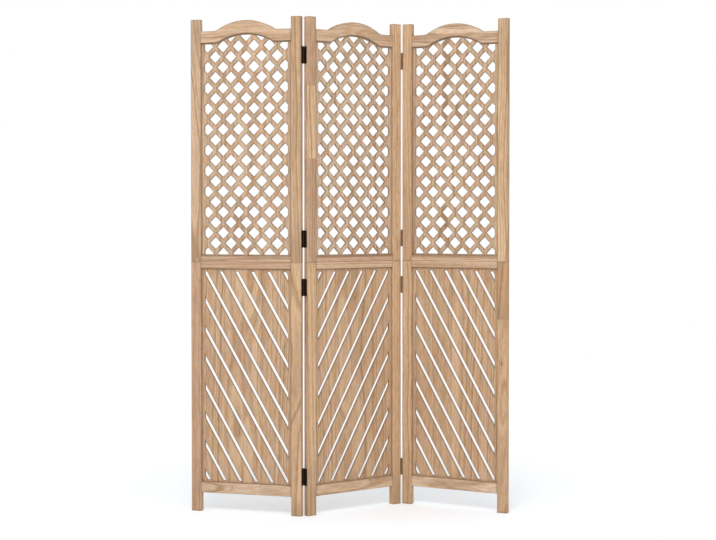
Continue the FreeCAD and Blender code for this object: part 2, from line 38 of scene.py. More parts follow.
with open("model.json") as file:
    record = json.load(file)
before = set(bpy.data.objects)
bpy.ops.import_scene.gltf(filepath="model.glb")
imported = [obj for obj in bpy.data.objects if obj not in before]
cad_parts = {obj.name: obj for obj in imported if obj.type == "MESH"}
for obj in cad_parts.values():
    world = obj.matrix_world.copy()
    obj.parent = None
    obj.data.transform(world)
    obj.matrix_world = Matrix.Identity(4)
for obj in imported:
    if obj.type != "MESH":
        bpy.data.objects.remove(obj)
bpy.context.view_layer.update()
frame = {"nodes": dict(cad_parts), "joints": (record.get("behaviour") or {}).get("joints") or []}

PANELS = ("left", "middle", "right")
STILES = ("upper_left_stile", "upper_right_stile", "lower_left_stile", "lower_right_stile")
RAILS = ("top_rail", "upper_mid_rail", "lower_mid_rail", "bottom_rail")
FLAT_SAWN = ("top_rail", "bottom_rail")
HINGE_HEIGHTS = (1.570, 0.945, 0.780, 0.132)
TENON = 0.018
OVERRUN = 0.0005
SLOT_LENGTH = 0.8
ARCH_STEPS, SWEEP_STEPS = 24, 8


# Sizes, colours and studio levels that a user may change
def length(name, description, default):
    return FloatProperty(name=name, description=description, default=default, min=0.0,
                         subtype="DISTANCE", unit="LENGTH", precision=4)


def turn(name, description, degrees):
    return FloatProperty(name=name, description=description, default=math.radians(degrees),
                         subtype="ANGLE", unit="ROTATION")


def count(name, description, default):
    return IntProperty(name=name, description=description, default=default, min=1)


def power(name, description, default):
    return FloatProperty(name=name, description=description, default=default, min=0.0,
                         subtype="POWER", unit="POWER")


def colour(name, description, default):
    return FloatVectorProperty(name=name, description=description, default=default,
                               size=3, min=0.0, max=1.0, subtype="COLOR")


class ScreenSizes(bpy.types.PropertyGroup):
    """Sizes of the panels, boards and hinges, as they stand in the fixed frame"""

    panel_width: length("Panel width", "Width of one panel over its stiles", 0.400)
    stile_width: length("Stile width", "Width of a stile seen from the front", 0.036)
    stile_thick: length("Stile thickness", "Thickness of a stile", 0.022)
    left_turn: turn("Left panel turn", "Turn of the left panel", -15.9)
    middle_turn: turn("Middle panel turn", "Turn of the middle panel", 36.0)
    right_turn: turn("Right panel turn", "Turn of the right panel", -27.8)
    axis_offset: length("Hinge line offset", "Distance of a hinge line from edge and face", 0.0015)
    board_thick: length("Board thickness", "Thickness of the fretwork and slotted boards", 0.006)
    tongue: length("Tongue", "Depth of a board's edge inside the grooves", 0.006)
    ease: length("Eased edge", "Width of the rubbed edge round every opening", 0.0006)
    side_border: length("Side border", "Plain border of a board beside the stile", 0.013)
    rail_flat: length("Top rail side", "Height of the top rail beside its arch", 1.659)
    rail_crown: length("Top rail crown", "Height of the top rail's crown", 1.693)
    rail_radius: length("Top rail radius", "Radius of the top rail's upper arch", 0.188)
    rail_sweep: length("Top rail sweep", "Radius of the small sweep beside that arch", 0.040)
    window_low: length("Upper window sill", "Height of the upper board's seen foot", 0.886)
    window_flat: length("Upper window side", "Height where the arch starts", 1.619)
    window_crown: length("Upper window crown", "Height of the arch's crown", 1.6485)
    window_radius: length("Arch radius", "Radius of the arch", 0.193)
    window_sweep: length("Arch sweep", "Radius of the small sweep beside the arch", 0.034)
    window_foot: length("Fretwork foot border", "Plain border under the fretwork", 0.0054)
    window_arch: length("Fretwork arch border", "Plain border along the arch", 0.004)
    lower_window_low: length("Lower window sill", "Height of the lower board's seen foot", 0.102)
    lower_window_high: length("Lower window head", "Height of the lower board's seen top", 0.8426)
    lower_window_foot: length("Slot foot border", "Plain border under the slots", 0.008)
    lower_window_head: length("Slot head border", "Plain border over the slots", 0.0106)
    diamond_half: length("Diamond half width", "Half of a fretwork opening, point to point", 0.021)
    diamond_step: length("Diamond step", "Sideways step between fretwork columns", 0.0281)
    diamond_rise: length("Diamond rise", "Upward step between fretwork rows", 0.0356)
    diamond_top: length("Highest row", "Height of the highest full fretwork row", 1.6065)
    diamond_columns: count("Columns", "Fretwork columns", 11)
    diamond_rows: count("Rows", "Fretwork rows", 22)
    slot_width: length("Slot width", "Width of a slanting slot", 0.010)
    slot_pitch: length("Slot pitch", "Distance from slot to slot, across them", 0.050)
    slot_level: length("Highest slot", "Height of the highest slot at the board's middle", 1.0714)
    slot_slope: turn("Slot slope", "Steepness of the slots", 60.0)
    slot_count: count("Slots", "Slots cut one above the other", 13)
    screw_head: length("Screw head radius", "Radius of a countersunk head", 0.0028)
    screw_shank: length("Screw radius", "Radius of a screw's shank", 0.0014)
    screw_length: length("Screw length", "Length of a screw", 0.01617)
    leaf_thick: length("Leaf thickness", "Thickness of a hinge leaf", 0.0012)
    screw_spacing: length("Screw spacing", "Distance between a leaf's screws", 0.019)
    screw_setback: length("Screw setback", "Distance of the screws from the hinge line", 0.011)


class ScreenColours(bpy.types.PropertyGroup):
    """Colours of the woods and metals"""

    straw: colour("Straw wood", "Palest stiles, slightly yellow", (0.640, 0.440, 0.262))
    honey: colour("Honey wood", "Warm middle tone of most stiles", (0.590, 0.390, 0.228))
    rosy: colour("Rosy wood", "Pinkish stiles and rails", (0.545, 0.352, 0.228))
    tan: colour("Tan wood", "Browner stiles and the slotted boards", (0.525, 0.352, 0.208))
    amber: colour("Amber wood", "Dark orange block in a stile", (0.468, 0.284, 0.150))
    russet: colour("Russet wood", "Dark blocks in the middle panel's left stile",
                   (0.455, 0.292, 0.178))
    ash: colour("Ash wood", "Greyer fretwork boards", (0.536, 0.388, 0.255))
    dove: colour("Dove wood", "Greyest fretwork board", (0.562, 0.424, 0.293))
    cream: colour("Cream wood", "Pale, little coloured rails", (0.592, 0.416, 0.270))
    linen: colour("Linen wood", "Palest rails", (0.638, 0.468, 0.322))
    ember: colour("Ember patch", "Orange-brown patches and flecks", (0.560, 0.275, 0.115))
    moss: colour("Moss patch", "Greyish green patches", (0.400, 0.325, 0.215))
    rose: colour("Rose patch", "Pinkish patches", (0.620, 0.385, 0.285))
    # Umber paints the stains and dark joints, and also the painted shade in corners, along rail
    # edges and on shaded sides
    umber: colour("Umber stain", "Darkened edges, joints and corners", (0.190, 0.115, 0.070))
    black_metal: colour("Black metal", "Blackened hinge metal", (0.030, 0.014, 0.006))
    bronze_metal: colour("Bronze metal", "Browned hinge metal", (0.185, 0.114, 0.053))
    floor: colour("Floor", "Pale studio floor", (0.885, 0.915, 0.945))
    daylight: colour("Daylight", "Light from all round", (0.97, 0.985, 1.0))


class ScreenStudio(bpy.types.PropertyGroup):
    """Camera, lamps and backdrop"""

    ambient: FloatProperty(name="Ambient", description="Strength of the light from all round",
                           default=0.72, min=0.0)
    key_power: power("Key lamp", "Power of the large lamp above", 60.0)
    fill_power: power("Fill lamp", "Power of the lamp near the camera", 30.0)
    lens: FloatProperty(name="Lens", description="Focal length", default=76.53, min=1.0,
                        subtype="DISTANCE_CAMERA", unit="CAMERA")
    pitch: turn("Pitch", "Downward tilt of the camera", 1.355)
    shift: FloatProperty(name="Shift", description="Upward shift of the camera's frame",
                         default=-0.0279)
    place: FloatVectorProperty(name="Camera place", description="Where the camera stands",
                               default=(0.02882, -5.2902, 1.0304), size=3,
                               subtype="TRANSLATION", unit="LENGTH")


# Sums on sockets
def maths(operation, swapped=False):
    """A method that adds one Math node on a socket and another value."""
    def method(socket, other=0.0):
        first, second = (other, socket) if swapped else (socket, other)
        return socket.tree.node("ShaderNodeMath", {"operation": operation},
                                {0: first, 1: second})
    return method


class Socket:
    """A node's output that takes part in sums as a number does."""

    def __init__(self, tree, link):
        self.tree, self.link = tree, link

    __add__ = __radd__ = maths("ADD")
    __mul__ = __rmul__ = maths("MULTIPLY")
    __sub__ = maths("SUBTRACT")
    __rsub__ = maths("SUBTRACT", swapped=True)
    __truediv__ = maths("DIVIDE")
    __pow__ = maths("POWER")
    __mod__ = maths("FLOORED_MODULO")
    __gt__ = maths("GREATER_THAN")
    __abs__ = maths("ABSOLUTE")
    least = maths("MINIMUM")
    most = maths("MAXIMUM")
    rounded = maths("ROUND")
    sign = maths("SIGN")
    floor = maths("FLOOR")


class Tree:
    """Builds the nodes of one material, world or geometry tree."""

    def __init__(self, nodes):
        self.nodes = nodes

    def node(self, kind, settings=None, sockets=None, out=0):
        """Adds a node: its settings first, then the values or links of its sockets."""
        made = self.nodes.nodes.new(kind)
        for key, value in (settings or {}).items():
            setattr(made, key, value)
        for key, value in (sockets or {}).items():
            if isinstance(value, (list, tuple)) and value and isinstance(value[0], Socket):
                for part in value:
                    self.nodes.links.new(part.link, made.inputs[key])
            elif isinstance(value, Socket):
                self.nodes.links.new(value.link, made.inputs[key])
            else:
                made.inputs[key].default_value = value
        if isinstance(out, tuple):
            return [Socket(self, made.outputs[name]) for name in out]
        return Socket(self, made.outputs[out]) if len(made.outputs) else made

    def join(self, x=0.0, y=0.0, z=0.0):
        return self.node("ShaderNodeCombineXYZ", None, {0: x, 1: y, 2: z})

    def split(self, vector):
        return self.node("ShaderNodeSeparateXYZ", None, {0: vector}, ("X", "Y", "Z"))

    def mix(self, share, first, second, blend="MIX"):
        """Mixes two colours."""
        first, second = (c if isinstance(c, Socket) else (*c[:3], 1.0) for c in (first, second))
        return self.node("ShaderNodeMix", {"data_type": "RGBA", "blend_type": blend},
                         {0: share, 6: first, 7: second}, 2)

    def smooth(self, value, low, high, start=0.0, end=1.0):
        """Rises gently from start to end while value goes from low to high."""
        return self.node("ShaderNodeMapRange", {"interpolation_type": "SMOOTHSTEP"},
                         {0: value, 1: low, 2: high, 3: start, 4: end})

    def fade(self, value, low, high, strength):
        """Falls gently from strength to nothing while value goes from low to high."""
        return self.smooth(value, low, high, strength, 0.0)

    def noise(self, place, waves, seed, detail, roughness):
        """Soft random values from 0 to 1 over three directions, each with its own waves."""
        x, y, z = (value * wave for value, wave in zip(place, waves))
        return self.node("ShaderNodeTexNoise", {"noise_dimensions": "3D"},
                         {"Vector": self.join(x + seed, y + 2 * seed, z - seed), "Scale": 1.0,
                          "Detail": detail, "Roughness": roughness})

    def noise_line(self, along, detail=1.0, roughness=0.5):
        """Soft random values from 0 to 1 along one direction."""
        return self.node("ShaderNodeTexNoise", {"noise_dimensions": "1D"},
                         {"W": along, "Scale": 1.0, "Detail": detail, "Roughness": roughness})


class ShapeTree(Tree):
    """A geometry tree with named inputs that ends in real, painted mesh."""

    def __init__(self, name):
        super().__init__(bpy.data.node_groups.new(name, "GeometryNodeTree"))
        self.nodes.is_modifier = True
        face = self.nodes.interface
        face.new_socket("Geometry", in_out="INPUT", socket_type="NodeSocketGeometry")
        face.new_socket("Geometry", in_out="OUTPUT", socket_type="NodeSocketGeometry")
        self.entry = self.nodes.nodes.new("NodeGroupInput")
        self.names = {}

    def shape(self):
        return Socket(self, self.entry.outputs["Geometry"])

    def size(self, name, kind="NodeSocketFloat"):
        """Adds a named input and gives it as a socket."""
        made = self.nodes.interface.new_socket(name, in_out="INPUT", socket_type=kind)
        self.names[name] = made.identifier
        return Socket(self, self.entry.outputs[name])

    def real(self, shape):
        return self.node("GeometryNodeRealizeInstances", None, {0: shape})

    def finish(self, shape):
        """Ends the tree in Realize Instances and Set Material."""
        paint = self.size("Finish", "NodeSocketMaterial")
        painted = self.node("GeometryNodeSetMaterial", None,
                            {"Geometry": self.real(shape), "Material": paint})
        self.node("NodeGroupOutput", None, {0: painted})

    def board_and_window(self):
        """The board itself, and the marked block that its openings must stay inside."""
        marked = self.node("GeometryNodeInputNamedAttribute", {"data_type": "BOOLEAN"},
                           {"Name": "window"}, "Attribute")
        return self.node("GeometryNodeSeparateGeometry", {"domain": "FACE"},
                         {"Geometry": self.shape(), "Selection": marked},
                         ("Inverted", "Selection"))

    def cut(self, board, window, cutters):
        """Takes out of the board what the cutters and the window have in common."""
        self.finish(self.boolean("DIFFERENCE", board,
                                 self.boolean("INTERSECT", window, cutters)))

    def boolean(self, operation, first, *others):
        sockets = {"Mesh 2": list(others)}
        if operation == "DIFFERENCE":
            sockets["Mesh 1"] = first
        else:
            sockets["Mesh 2"].append(first)
        return self.node("GeometryNodeMeshBoolean",
                         {"operation": operation, "solver": "EXACT"}, sockets)


# Places of the panels
def hinge_place(side):
    """The foot of a hinge line, on the floor."""
    joint = next(joint for joint in frame["joints"] if joint["name"] == side + "_hinge")
    return Matrix.Translation((*joint["pos_m"][:2], 0.0))


def turned(panel, flip=0.0):
    sizes = bpy.context.scene.screen_sizes
    return Matrix.Rotation(getattr(sizes, panel + "_turn") + flip, 4, "Z")


def stand(panel):
    """A panel's own place: across from its left edge, back from its front, up from the floor."""
    sizes = bpy.context.scene.screen_sizes
    gap, thick = sizes.axis_offset, sizes.stile_thick
    step = {"left": (-sizes.panel_width - gap, -thick - gap, 0.0),
            "middle": (gap, -thick - gap, 0.0),
            "right": (gap, gap, 0.0)}[panel]
    side = "right" if panel == "right" else "left"
    return hinge_place(side) @ turned(panel) @ Matrix.Translation(step)


def body_of(panel):
    return panel + "_panel"


# Meshes
def loft(mesh, rings, mark):
    """Adds a closed solid through rings of points that lie one behind the other."""
    layer = mesh.faces.layers.bool.get("window") or mesh.faces.layers.bool.new("window")
    rows = [[mesh.verts.new(point) for point in ring] for ring in rings]
    faces = [mesh.faces.new(list(reversed(rows[0]))), mesh.faces.new(rows[-1])]
    for low, high in zip(rows, rows[1:]):
        for i in range(len(low)):
            j = (i + 1) % len(low)
            faces.append(mesh.faces.new((low[i], low[j], high[j], high[i])))
    for face in faces:
        face[layer] = mark


def arc(x, z, radius, start, end, steps):
    """Points along a round stretch, its ends among them."""
    turns = [start + i / steps * (end - start) for i in range(steps + 1)]
    return [(x + radius * math.cos(turn), z + radius * math.sin(turn)) for turn in turns]


def arch_points(left, right, low, flat, crown, radius, sweep):
    """An outline whose top rises from two flats through small sweeps to a crown."""
    middle, centre, quarter = (left + right) / 2, crown - radius, math.pi / 2
    rise = flat + sweep - centre
    reach = math.sqrt((radius + sweep) ** 2 - rise ** 2)
    lean = math.atan2(rise, reach)
    return [(left, low), (right, low), (right, flat),
            *arc(middle + reach, flat + sweep, sweep, -quarter, lean - math.pi, SWEEP_STEPS),
            *arc(middle, centre, radius, lean, math.pi - lean, ARCH_STEPS)[1:-1],
            *arc(middle - reach, flat + sweep, sweep, -lean, -quarter, SWEEP_STEPS),
            (left, flat)]


def box_points(left, right, low, high):
    return [(left, low), (right, low), (right, high), (left, high)]


def levels(thick, ease, past):
    """Depth and outward growth of the four rings of a cutter with eased mouths."""
    half = thick / 2
    return [(-half - past, ease + past), (-half + ease, 0.0),
            (half - ease, 0.0), (half + past, ease + past)]


def bake_tree(name, base, tree, values, place):
    """Runs a geometry tree on a base mesh and keeps the result as one plain mesh."""
    mesh = bpy.data.meshes.new(name + "_base")
    base.to_mesh(mesh)
    base.free()
    holder = bpy.data.objects.new(name + "_base", mesh)
    bpy.context.scene.collection.objects.link(holder)
    modifier = holder.modifiers.new("shape", "NODES")
    modifier.node_group = tree.nodes
    for key, value in values.items():
        modifier[tree.names[key]] = value
    holder.update_tag()
    evaluated = holder.evaluated_get(bpy.context.evaluated_depsgraph_get())
    result = bpy.data.meshes.new_from_object(evaluated)
    holder.modifiers.remove(modifier)
    bpy.data.objects.remove(holder)
    bpy.data.meshes.remove(mesh)
    if not result.polygons:
        raise RuntimeError(name + " came out empty")
    result.name = name
    result.materials.clear()
    result.materials.append(values["Finish"])
    result.polygons.foreach_set("material_index", [0] * len(result.polygons))
    result.transform(place)
    piece = bpy.data.objects.new(name, result)
    bpy.context.scene.collection.objects.link(piece)
    return piece


def keep(piece, body, slot, *nodes):
    """Puts a finished piece on its body in the place of its plain nodes."""
    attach(piece, body)
    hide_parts(*nodes)


# Finishes
def new_material(name):
    material = bpy.data.materials.new(name)
    material.use_nodes = True
    material.node_tree.nodes.clear()
    return material, Tree(material.node_tree)


def local_extent(node, place):
    """A node's box in its panel's own place."""
    back = place.inverted()
    points = [back @ v.co for v in frame["nodes"][node].data.vertices]
    return [(min(p[i] for p in points), max(p[i] for p in points)) for i in range(3)]


def near(value, period):
    """Distance from a value to the closest whole number of periods."""
    return abs((value + period / 2) % period - period / 2)


def arch_depth(x, z, flat, crown, radius, sweep):
    """How deep a point lies under an outline that rises from flats through sweeps to a crown."""
    centre = crown - radius
    reach = math.sqrt((radius + sweep) ** 2 - (flat + sweep - centre) ** 2)
    beside, over, up = abs(x) - reach, z - (flat + sweep), z - centre
    hollow = (beside * beside + over * over) ** 0.5 - sweep
    level = (flat - z).most(radius - (x * x + up * up) ** 0.5)
    in_sweep = (beside > -reach * sweep / (radius + sweep)) * (0.0 - beside > 0.0)
    return level + in_sweep * (hollow - level)


def window_depth(x, z, sizes, inset):
    """How deep a point lies inside the arched top of the upper window, made smaller by an inset."""
    return arch_depth(x - sizes.panel_width / 2, z, sizes.window_flat - inset,
                      sizes.window_crown - inset, sizes.window_radius - inset,
                      sizes.window_sweep + inset)


def top_rail_edge(x, z, sizes):
    """Distance from the nearest of the top rail's two curved edges."""
    below = arch_depth(x - sizes.panel_width / 2, z, sizes.rail_flat, sizes.rail_crown,
                       sizes.rail_radius, sizes.rail_sweep)
    return below.least(0.0 - window_depth(x, z, sizes, 0.0))


def fretwork_gap(x, z, sizes):
    """Distance on the board's face from the nearest diamond opening or frame piece."""
    step, rise = 2 * sizes.diamond_step, 2 * sizes.diamond_rise
    half_width = sizes.panel_width / 2 - sizes.stile_width - sizes.side_border
    depth = window_depth(x, z, sizes, sizes.window_arch)
    above_foot = z - (sizes.window_low + sizes.window_foot)
    x, z = x - sizes.panel_width / 2, z - sizes.diamond_top
    first = near(x - step / 2, step) + near(z, rise)
    last = sizes.diamond_step * (sizes.diamond_columns - 1) / 2
    second = near(abs(x).least(last), step) + near(z - rise / 2, rise)
    gap = (first.least(second) - sizes.diamond_half) / math.sqrt(2.0)
    gap = gap.most(abs(x) - half_width).most(0.0 - depth.least(above_foot))
    # Near the frame this distance carries painted shade, where the stiles and rails shade the board
    seat = window_depth(x + sizes.panel_width / 2, z + sizes.diamond_top, sizes, 0.0)
    return gap.least(seat).least(half_width + sizes.side_border - abs(x)).least(
        above_foot + sizes.window_foot)


def slot_gap(x, z, sizes, slope):
    """Distance on the board's face from the nearest slot or frame piece."""
    half_width = sizes.panel_width / 2 - sizes.stile_width - sizes.side_border
    low = sizes.lower_window_low + sizes.lower_window_foot
    high = sizes.lower_window_high - sizes.lower_window_head
    x = x - sizes.panel_width / 2
    outside = (abs(x) - half_width).most(abs(z - (low + high) / 2) - (high - low) / 2)
    # Near the frame this distance carries painted shade, where the stiles and rails shade the board
    seat = (half_width + sizes.side_border - abs(x)).least(
        (z - sizes.lower_window_low).least(sizes.lower_window_high - z))
    z = z - sizes.slot_level
    gap = near(z * math.cos(slope) - x * math.sin(slope), sizes.slot_pitch) - sizes.slot_width / 2
    return gap.most(outside).least(seat)


# Marks of the grain: waves per metre across it, waves along it, shift of the seed,
# detail, roughness, and between which values the mark shows where it isn't all over
GRAIN_MARKS = {
    "ripple": (45.0, 5.0, 0.0, 2.0, 0.50, None),
    "fibre": (1100.0, 26.0, 0.0, 3.0, 0.65, None),
    "pore": (1500.0, 48.0, 2.0, 1.0, 0.50, (0.62, 0.72)),
    "cloud": (13.0, 3.2, 0.0, 2.0, 0.50, None),
    "blot": (150.0, 24.0, 4.0, 2.0, 0.65, None),
    "fleck": (330.0, 30.0, 0.0, 1.0, 0.50, (0.58, 0.74)),
}

# Marks of the rings: lines to a ring's width, shift of the seed, and then as above
RING_MARKS = {
    "rings": (1.0, 0.0, 2.0, 0.62, None),
    "late": (0.8, 30.0, 1.0, 0.50, (0.56, 0.66)),
    "line": (2.5, 60.0, 1.0, 0.50, (0.60, 0.72)),
}

# How strongly each mark darkens the wood, stands proud, dulls it and breaks up patches
SHADE = {"rings": 1.65, "late": 0.36, "fibre": 0.95, "cloud": 0.80, "blot": 0.95,
         "line": 0.30, "pore": 0.42}
RELIEF = {"rings": 0.5, "fibre": 0.7, "late": -0.3, "pore": -0.5}
DULLNESS = {"fibre": 0.16, "late": 0.10}
BREAK_UP = {"fibre": 0.28, "rings": 0.18}
SHADE_SPAN = (1.555, 3.155)
PALEST_GRAIN, DARKEST_GRAIN = (1.26, 1.28, 1.31), (0.68, 0.59, 0.51)
LEAST_DULL = 0.48
FLECK_STRENGTH = 0.34
WOOD_SPECULAR = 0.28
BUMP_STRENGTH, BUMP_DEPTH = 0.45, 0.0003

# Patches: shift of the seed and strength; then their waves aside, behind and along, and
# their detail and roughness
PATCHES = {"ember": (5.0, 0.85), "moss": (17.0, 0.75), "rose": (29.0, 0.80)}
PATCH_WAVES = (105.0, 60.0, 26.0)
PATCH_NATURE = (1.0, 0.6)
PATCH_SPAN = (0.73, 0.91)

# How the tree wandered aside and behind: waves per metre along the piece, and how far
SWAY, STRAY = (1.7, 0.030), (2.3, 0.024)
STRAY_SEED = 9.0
RIPPLE = 0.0045
BOW_REACH = 0.30

# Darkening: stained end grain and joints, darker long edges, and painted shade in closed corners,
# creases and recesses: where each starts to fade, where it ends, and its strength
END_GRAIN = (0.0002, 0.0012, 0.80)
END_SOAK = (0.0, 0.0060, 0.34)
BLOCK_JOINT = (0.0001, 0.0009, 0.28)
LONG_EDGE = (0.0002, 0.0024, 0.34)
CORNER_PAINTED_SHADE = (0.25, 0.93, 0.85)
CORNER_SHADE_REACH, CORNER_SHADE_SAMPLES = 0.012, 5
STRIP_JOINT, STRIP_JOINT_STRENGTH = 0.0002, 0.42

# How ragged a cut rim and a darker stretch end, as shares of their reach
RIM_RAGGED, STRETCH_RAGGED = 0.8, 0.6

# Finger joints between blocks: pitch of the fingers and their slope
FINGER_PITCH, FINGER_SLOPE = 0.005, 1.6

# Seeds of the pieces, what a strip or block changes in one, and how far a strip's heart
# lies aside
SEED_SPAN = (3.0, 60.0)
STRIP_SEED, BLOCK_SEED = 7.31, 5.7
STRIP_STEP, STRIP_START, STRIP_SWING = 3.7, 1.3, 0.06

# A knot, in shares of its size: its height, how the rings swell, its dark heart
KNOT_HEIGHT_SHARE = 0.42
KNOT_SWELL_SHARES = (5.0, 1.8)
KNOT_DARK_SHARES = (0.45, 1.15)
KNOT_STRENGTH = 0.80


def tint(name):
    return tuple(getattr(bpy.context.scene.screen_colours, name))


class Timber:
    """The nodes of one wooden piece, whose rings, fibres and flecks run along it."""

    def __init__(self, node, panel, upright, tone, figure):
        self.node, self.upright, self.paint, self.marks = node, upright, tone, {}
        self.side, self.behind, self.lean, self.ring, self.bow, self.bow_height = figure
        self.material, self.tree = new_material(node + "_wood")
        place = stand(panel)
        extent = local_extent(node, place)
        spot = self.tree.node("ShaderNodeTexCoord", None, None, "Object")
        spot = self.tree.node("ShaderNodeMapping", {"vector_type": "TEXTURE"},
                              {"Vector": spot, "Location": place.to_translation(),
                               "Rotation": place.to_euler()})
        self.spot = self.tree.split(spot)
        self.half = [(high - low) / 2 for low, high in extent]
        self.inner = [value - (low + high) / 2 for value, (low, high) in zip(self.spot, extent)]
        x, y, z = self.inner
        self.grain = (x, y, z) if upright else (z, y, x)
        self.across, self.depth, self.along = self.grain
        self.seed = random.Random(node).uniform(*SEED_SPAN)
        self.clean = None
        end = self.half[2] - abs(z) if upright else self.half[0] - TENON - abs(x)
        self.stain = self.tree.fade(end, *END_GRAIN)
        self.darken(end, *END_SOAK)

    # Adds to the stains and the painted shade that the umber tone paints
    def darken(self, distance, low, high, strength):
        self.stain = self.stain.most(self.tree.fade(distance, low, high, strength))

    def tone(self, share, name):
        self.paint = self.tree.mix(share, self.paint, tint(name))

    def blend(self, weights):
        """Adds up marks of the grain, each by its weight."""
        total = 0.0
        for mark, weight in weights.items():
            total = self.marks[mark] * weight + total
        return total

    def shown(self, mark, span):
        return self.tree.smooth(mark, *span) if span else mark

    def glue_strips(self, width, first, reach):
        """Lays strips side by side, each out of another part of the tree."""
        spread = (self.spot[0 if self.upright else 2] - first) / width
        strip = spread.floor()
        to_joint = (0.5 - abs(spread - strip - 0.5)) * width
        self.darken(to_joint, STRIP_JOINT, reach, STRIP_JOINT_STRENGTH)
        self.seed = strip * STRIP_SEED + self.seed
        swing = (strip * STRIP_STEP + STRIP_START) % 1.0 - 0.5
        self.side = swing * STRIP_SWING + self.side

    def glue_blocks(self):
        """Joins blocks from end to end with small fingers."""
        for height, tone in BLOCKS.get(self.node, ()):
            to_joint = self.spot[2] - height + near(self.across, FINGER_PITCH) * FINGER_SLOPE
            above = to_joint > 0.0
            self.tone(above, tone)
            self.darken(abs(to_joint), *BLOCK_JOINT)
            self.seed = above * BLOCK_SEED + self.seed

    def tone_side(self):
        """Makes one side paler and clean as painted light, or darker as painted shade."""
        if self.node not in PAINTED_SIDE_LIGHT_AND_SHADE:
            return
        side, reach, share, tone = PAINTED_SIDE_LIGHT_AND_SHADE[self.node]
        from_side = self.half[0] - self.inner[0] * side
        if tone:
            self.clean = self.tree.fade(from_side, 0.0, reach, share)
            self.tone(self.clean, tone)
        else:
            self.darken(from_side, 0.0, reach, share)

    def lay_grain(self):
        """Fibres, pores, clouds, blots and flecks, drawn out along the piece."""
        for mark, (waves, along, shift, detail, roughness, span) in GRAIN_MARKS.items():
            noise = self.tree.noise(self.grain, (waves, waves, along), self.seed + shift,
                                    detail, roughness)
            self.marks[mark] = self.shown(noise, span)

    def grow_rings(self):
        """Rings round the tree's heart, wandering along the piece and round its knots."""
        sway = self.tree.noise_line(self.along * SWAY[0] + self.seed)
        stray = self.tree.noise_line(self.along * STRAY[0] + self.seed + STRAY_SEED)
        aside = self.across - self.side + self.along * self.lean + (sway - 0.5) * SWAY[1]
        behind = self.depth - self.behind + (stray - 0.5) * STRAY[1]
        if self.bow:
            reach = abs(self.spot[2] - self.bow_height).least(BOW_REACH)
            aside = aside + reach * reach * self.bow
        ripple = self.marks["ripple"] - 0.5
        radius = (aside * aside + behind * behind) ** 0.5 + ripple * RIPPLE
        for knot_x, knot_z, size in KNOTS.get(self.node, ()):
            beside, over = self.spot[0] - knot_x, (self.spot[2] - knot_z) * KNOT_HEIGHT_SHARE
            reach = (beside * beside + over * over) ** 0.5
            wide, swell = (size * share for share in KNOT_SWELL_SHARES)
            radius = radius + self.tree.fade(reach, 0.0, wide, swell)
            dark = [size * share for share in KNOT_DARK_SHARES]
            self.darken(reach + ripple * size, *dark, KNOT_STRENGTH)
        for mark, (lines, shift, detail, roughness, span) in RING_MARKS.items():
            noise = self.tree.noise_line(radius * (lines / self.ring) + self.seed + shift,
                                         detail, roughness)
            self.marks[mark] = self.shown(noise, span)

    def lay_patches(self, mottle):
        """Patches of orange, green and rose, broken up by the grain."""
        break_up = self.blend(BREAK_UP)
        for name, (shift, strength) in PATCHES.items():
            patch = self.tree.noise(self.grain, PATCH_WAVES, self.seed + shift, *PATCH_NATURE)
            share = self.tree.smooth(patch + break_up, *PATCH_SPAN, 0.0, mottle * strength)
            self.tone(share, name)

    def shade_grain(self):
        """The light and dark of the grain over the patches, and the flecks on top."""
        dark = self.tree.smooth(self.blend(SHADE), *SHADE_SPAN)
        light = self.tree.mix(dark, PALEST_GRAIN, DARKEST_GRAIN)
        self.paint = self.tree.mix(1.0, self.paint, light, "MULTIPLY")
        self.tone(self.marks["fleck"] * FLECK_STRENGTH, "ember")

    def wear(self, rim):
        """Darker long edges; stain and painted shade along cut mouths; painted shade along rail
        edges; darker stretches; painted shade in corners.
        """
        gaps = [half - abs(value) for half, value in zip(self.half, self.inner)]
        edge = gaps[0].least(gaps[1]).most(gaps[0].most(gaps[1]).least(gaps[2]))
        self.darken(edge, *LONG_EDGE)
        if rim:
            distance, reach, strength = rim
            ragged = (self.marks["blot"] - 0.5) * (reach * RIM_RAGGED)
            self.darken(distance(self.spot[0], self.spot[2]) + ragged, 0.0, reach, strength)
        for height, reach, strength in STRETCHES.get(self.node, ()):
            ragged = (self.marks["cloud"] - 0.5) * (reach * STRETCH_RAGGED)
            self.darken(abs(self.spot[2] - height) + ragged, 0.0, reach, strength)
        # Painted shade in closed corners, creases and recesses, from ambient occlusion
        closed = self.tree.node("ShaderNodeAmbientOcclusion", {"samples": CORNER_SHADE_SAMPLES},
                                {"Distance": CORNER_SHADE_REACH}, "AO")
        self.darken(closed, *CORNER_PAINTED_SHADE)
        # Where a side has painted light, its stains and painted shade are taken away
        if self.clean:
            self.stain = self.stain * (1.0 - self.clean)
        # Paints the stains and the painted shade in umber
        self.tone(self.stain, "umber")

    def finish(self):
        bump = self.tree.node("ShaderNodeBump", None,
                              {"Strength": BUMP_STRENGTH, "Distance": BUMP_DEPTH,
                               "Height": self.blend(RELIEF)})
        shader = self.tree.node("ShaderNodeBsdfPrincipled", None,
                                {"Base Color": self.paint, "Normal": bump,
                                 "Roughness": self.blend(DULLNESS) + LEAST_DULL,
                                 "Specular IOR Level": WOOD_SPECULAR})
        self.tree.node("ShaderNodeOutputMaterial", None, {0: shader})
        return self.material


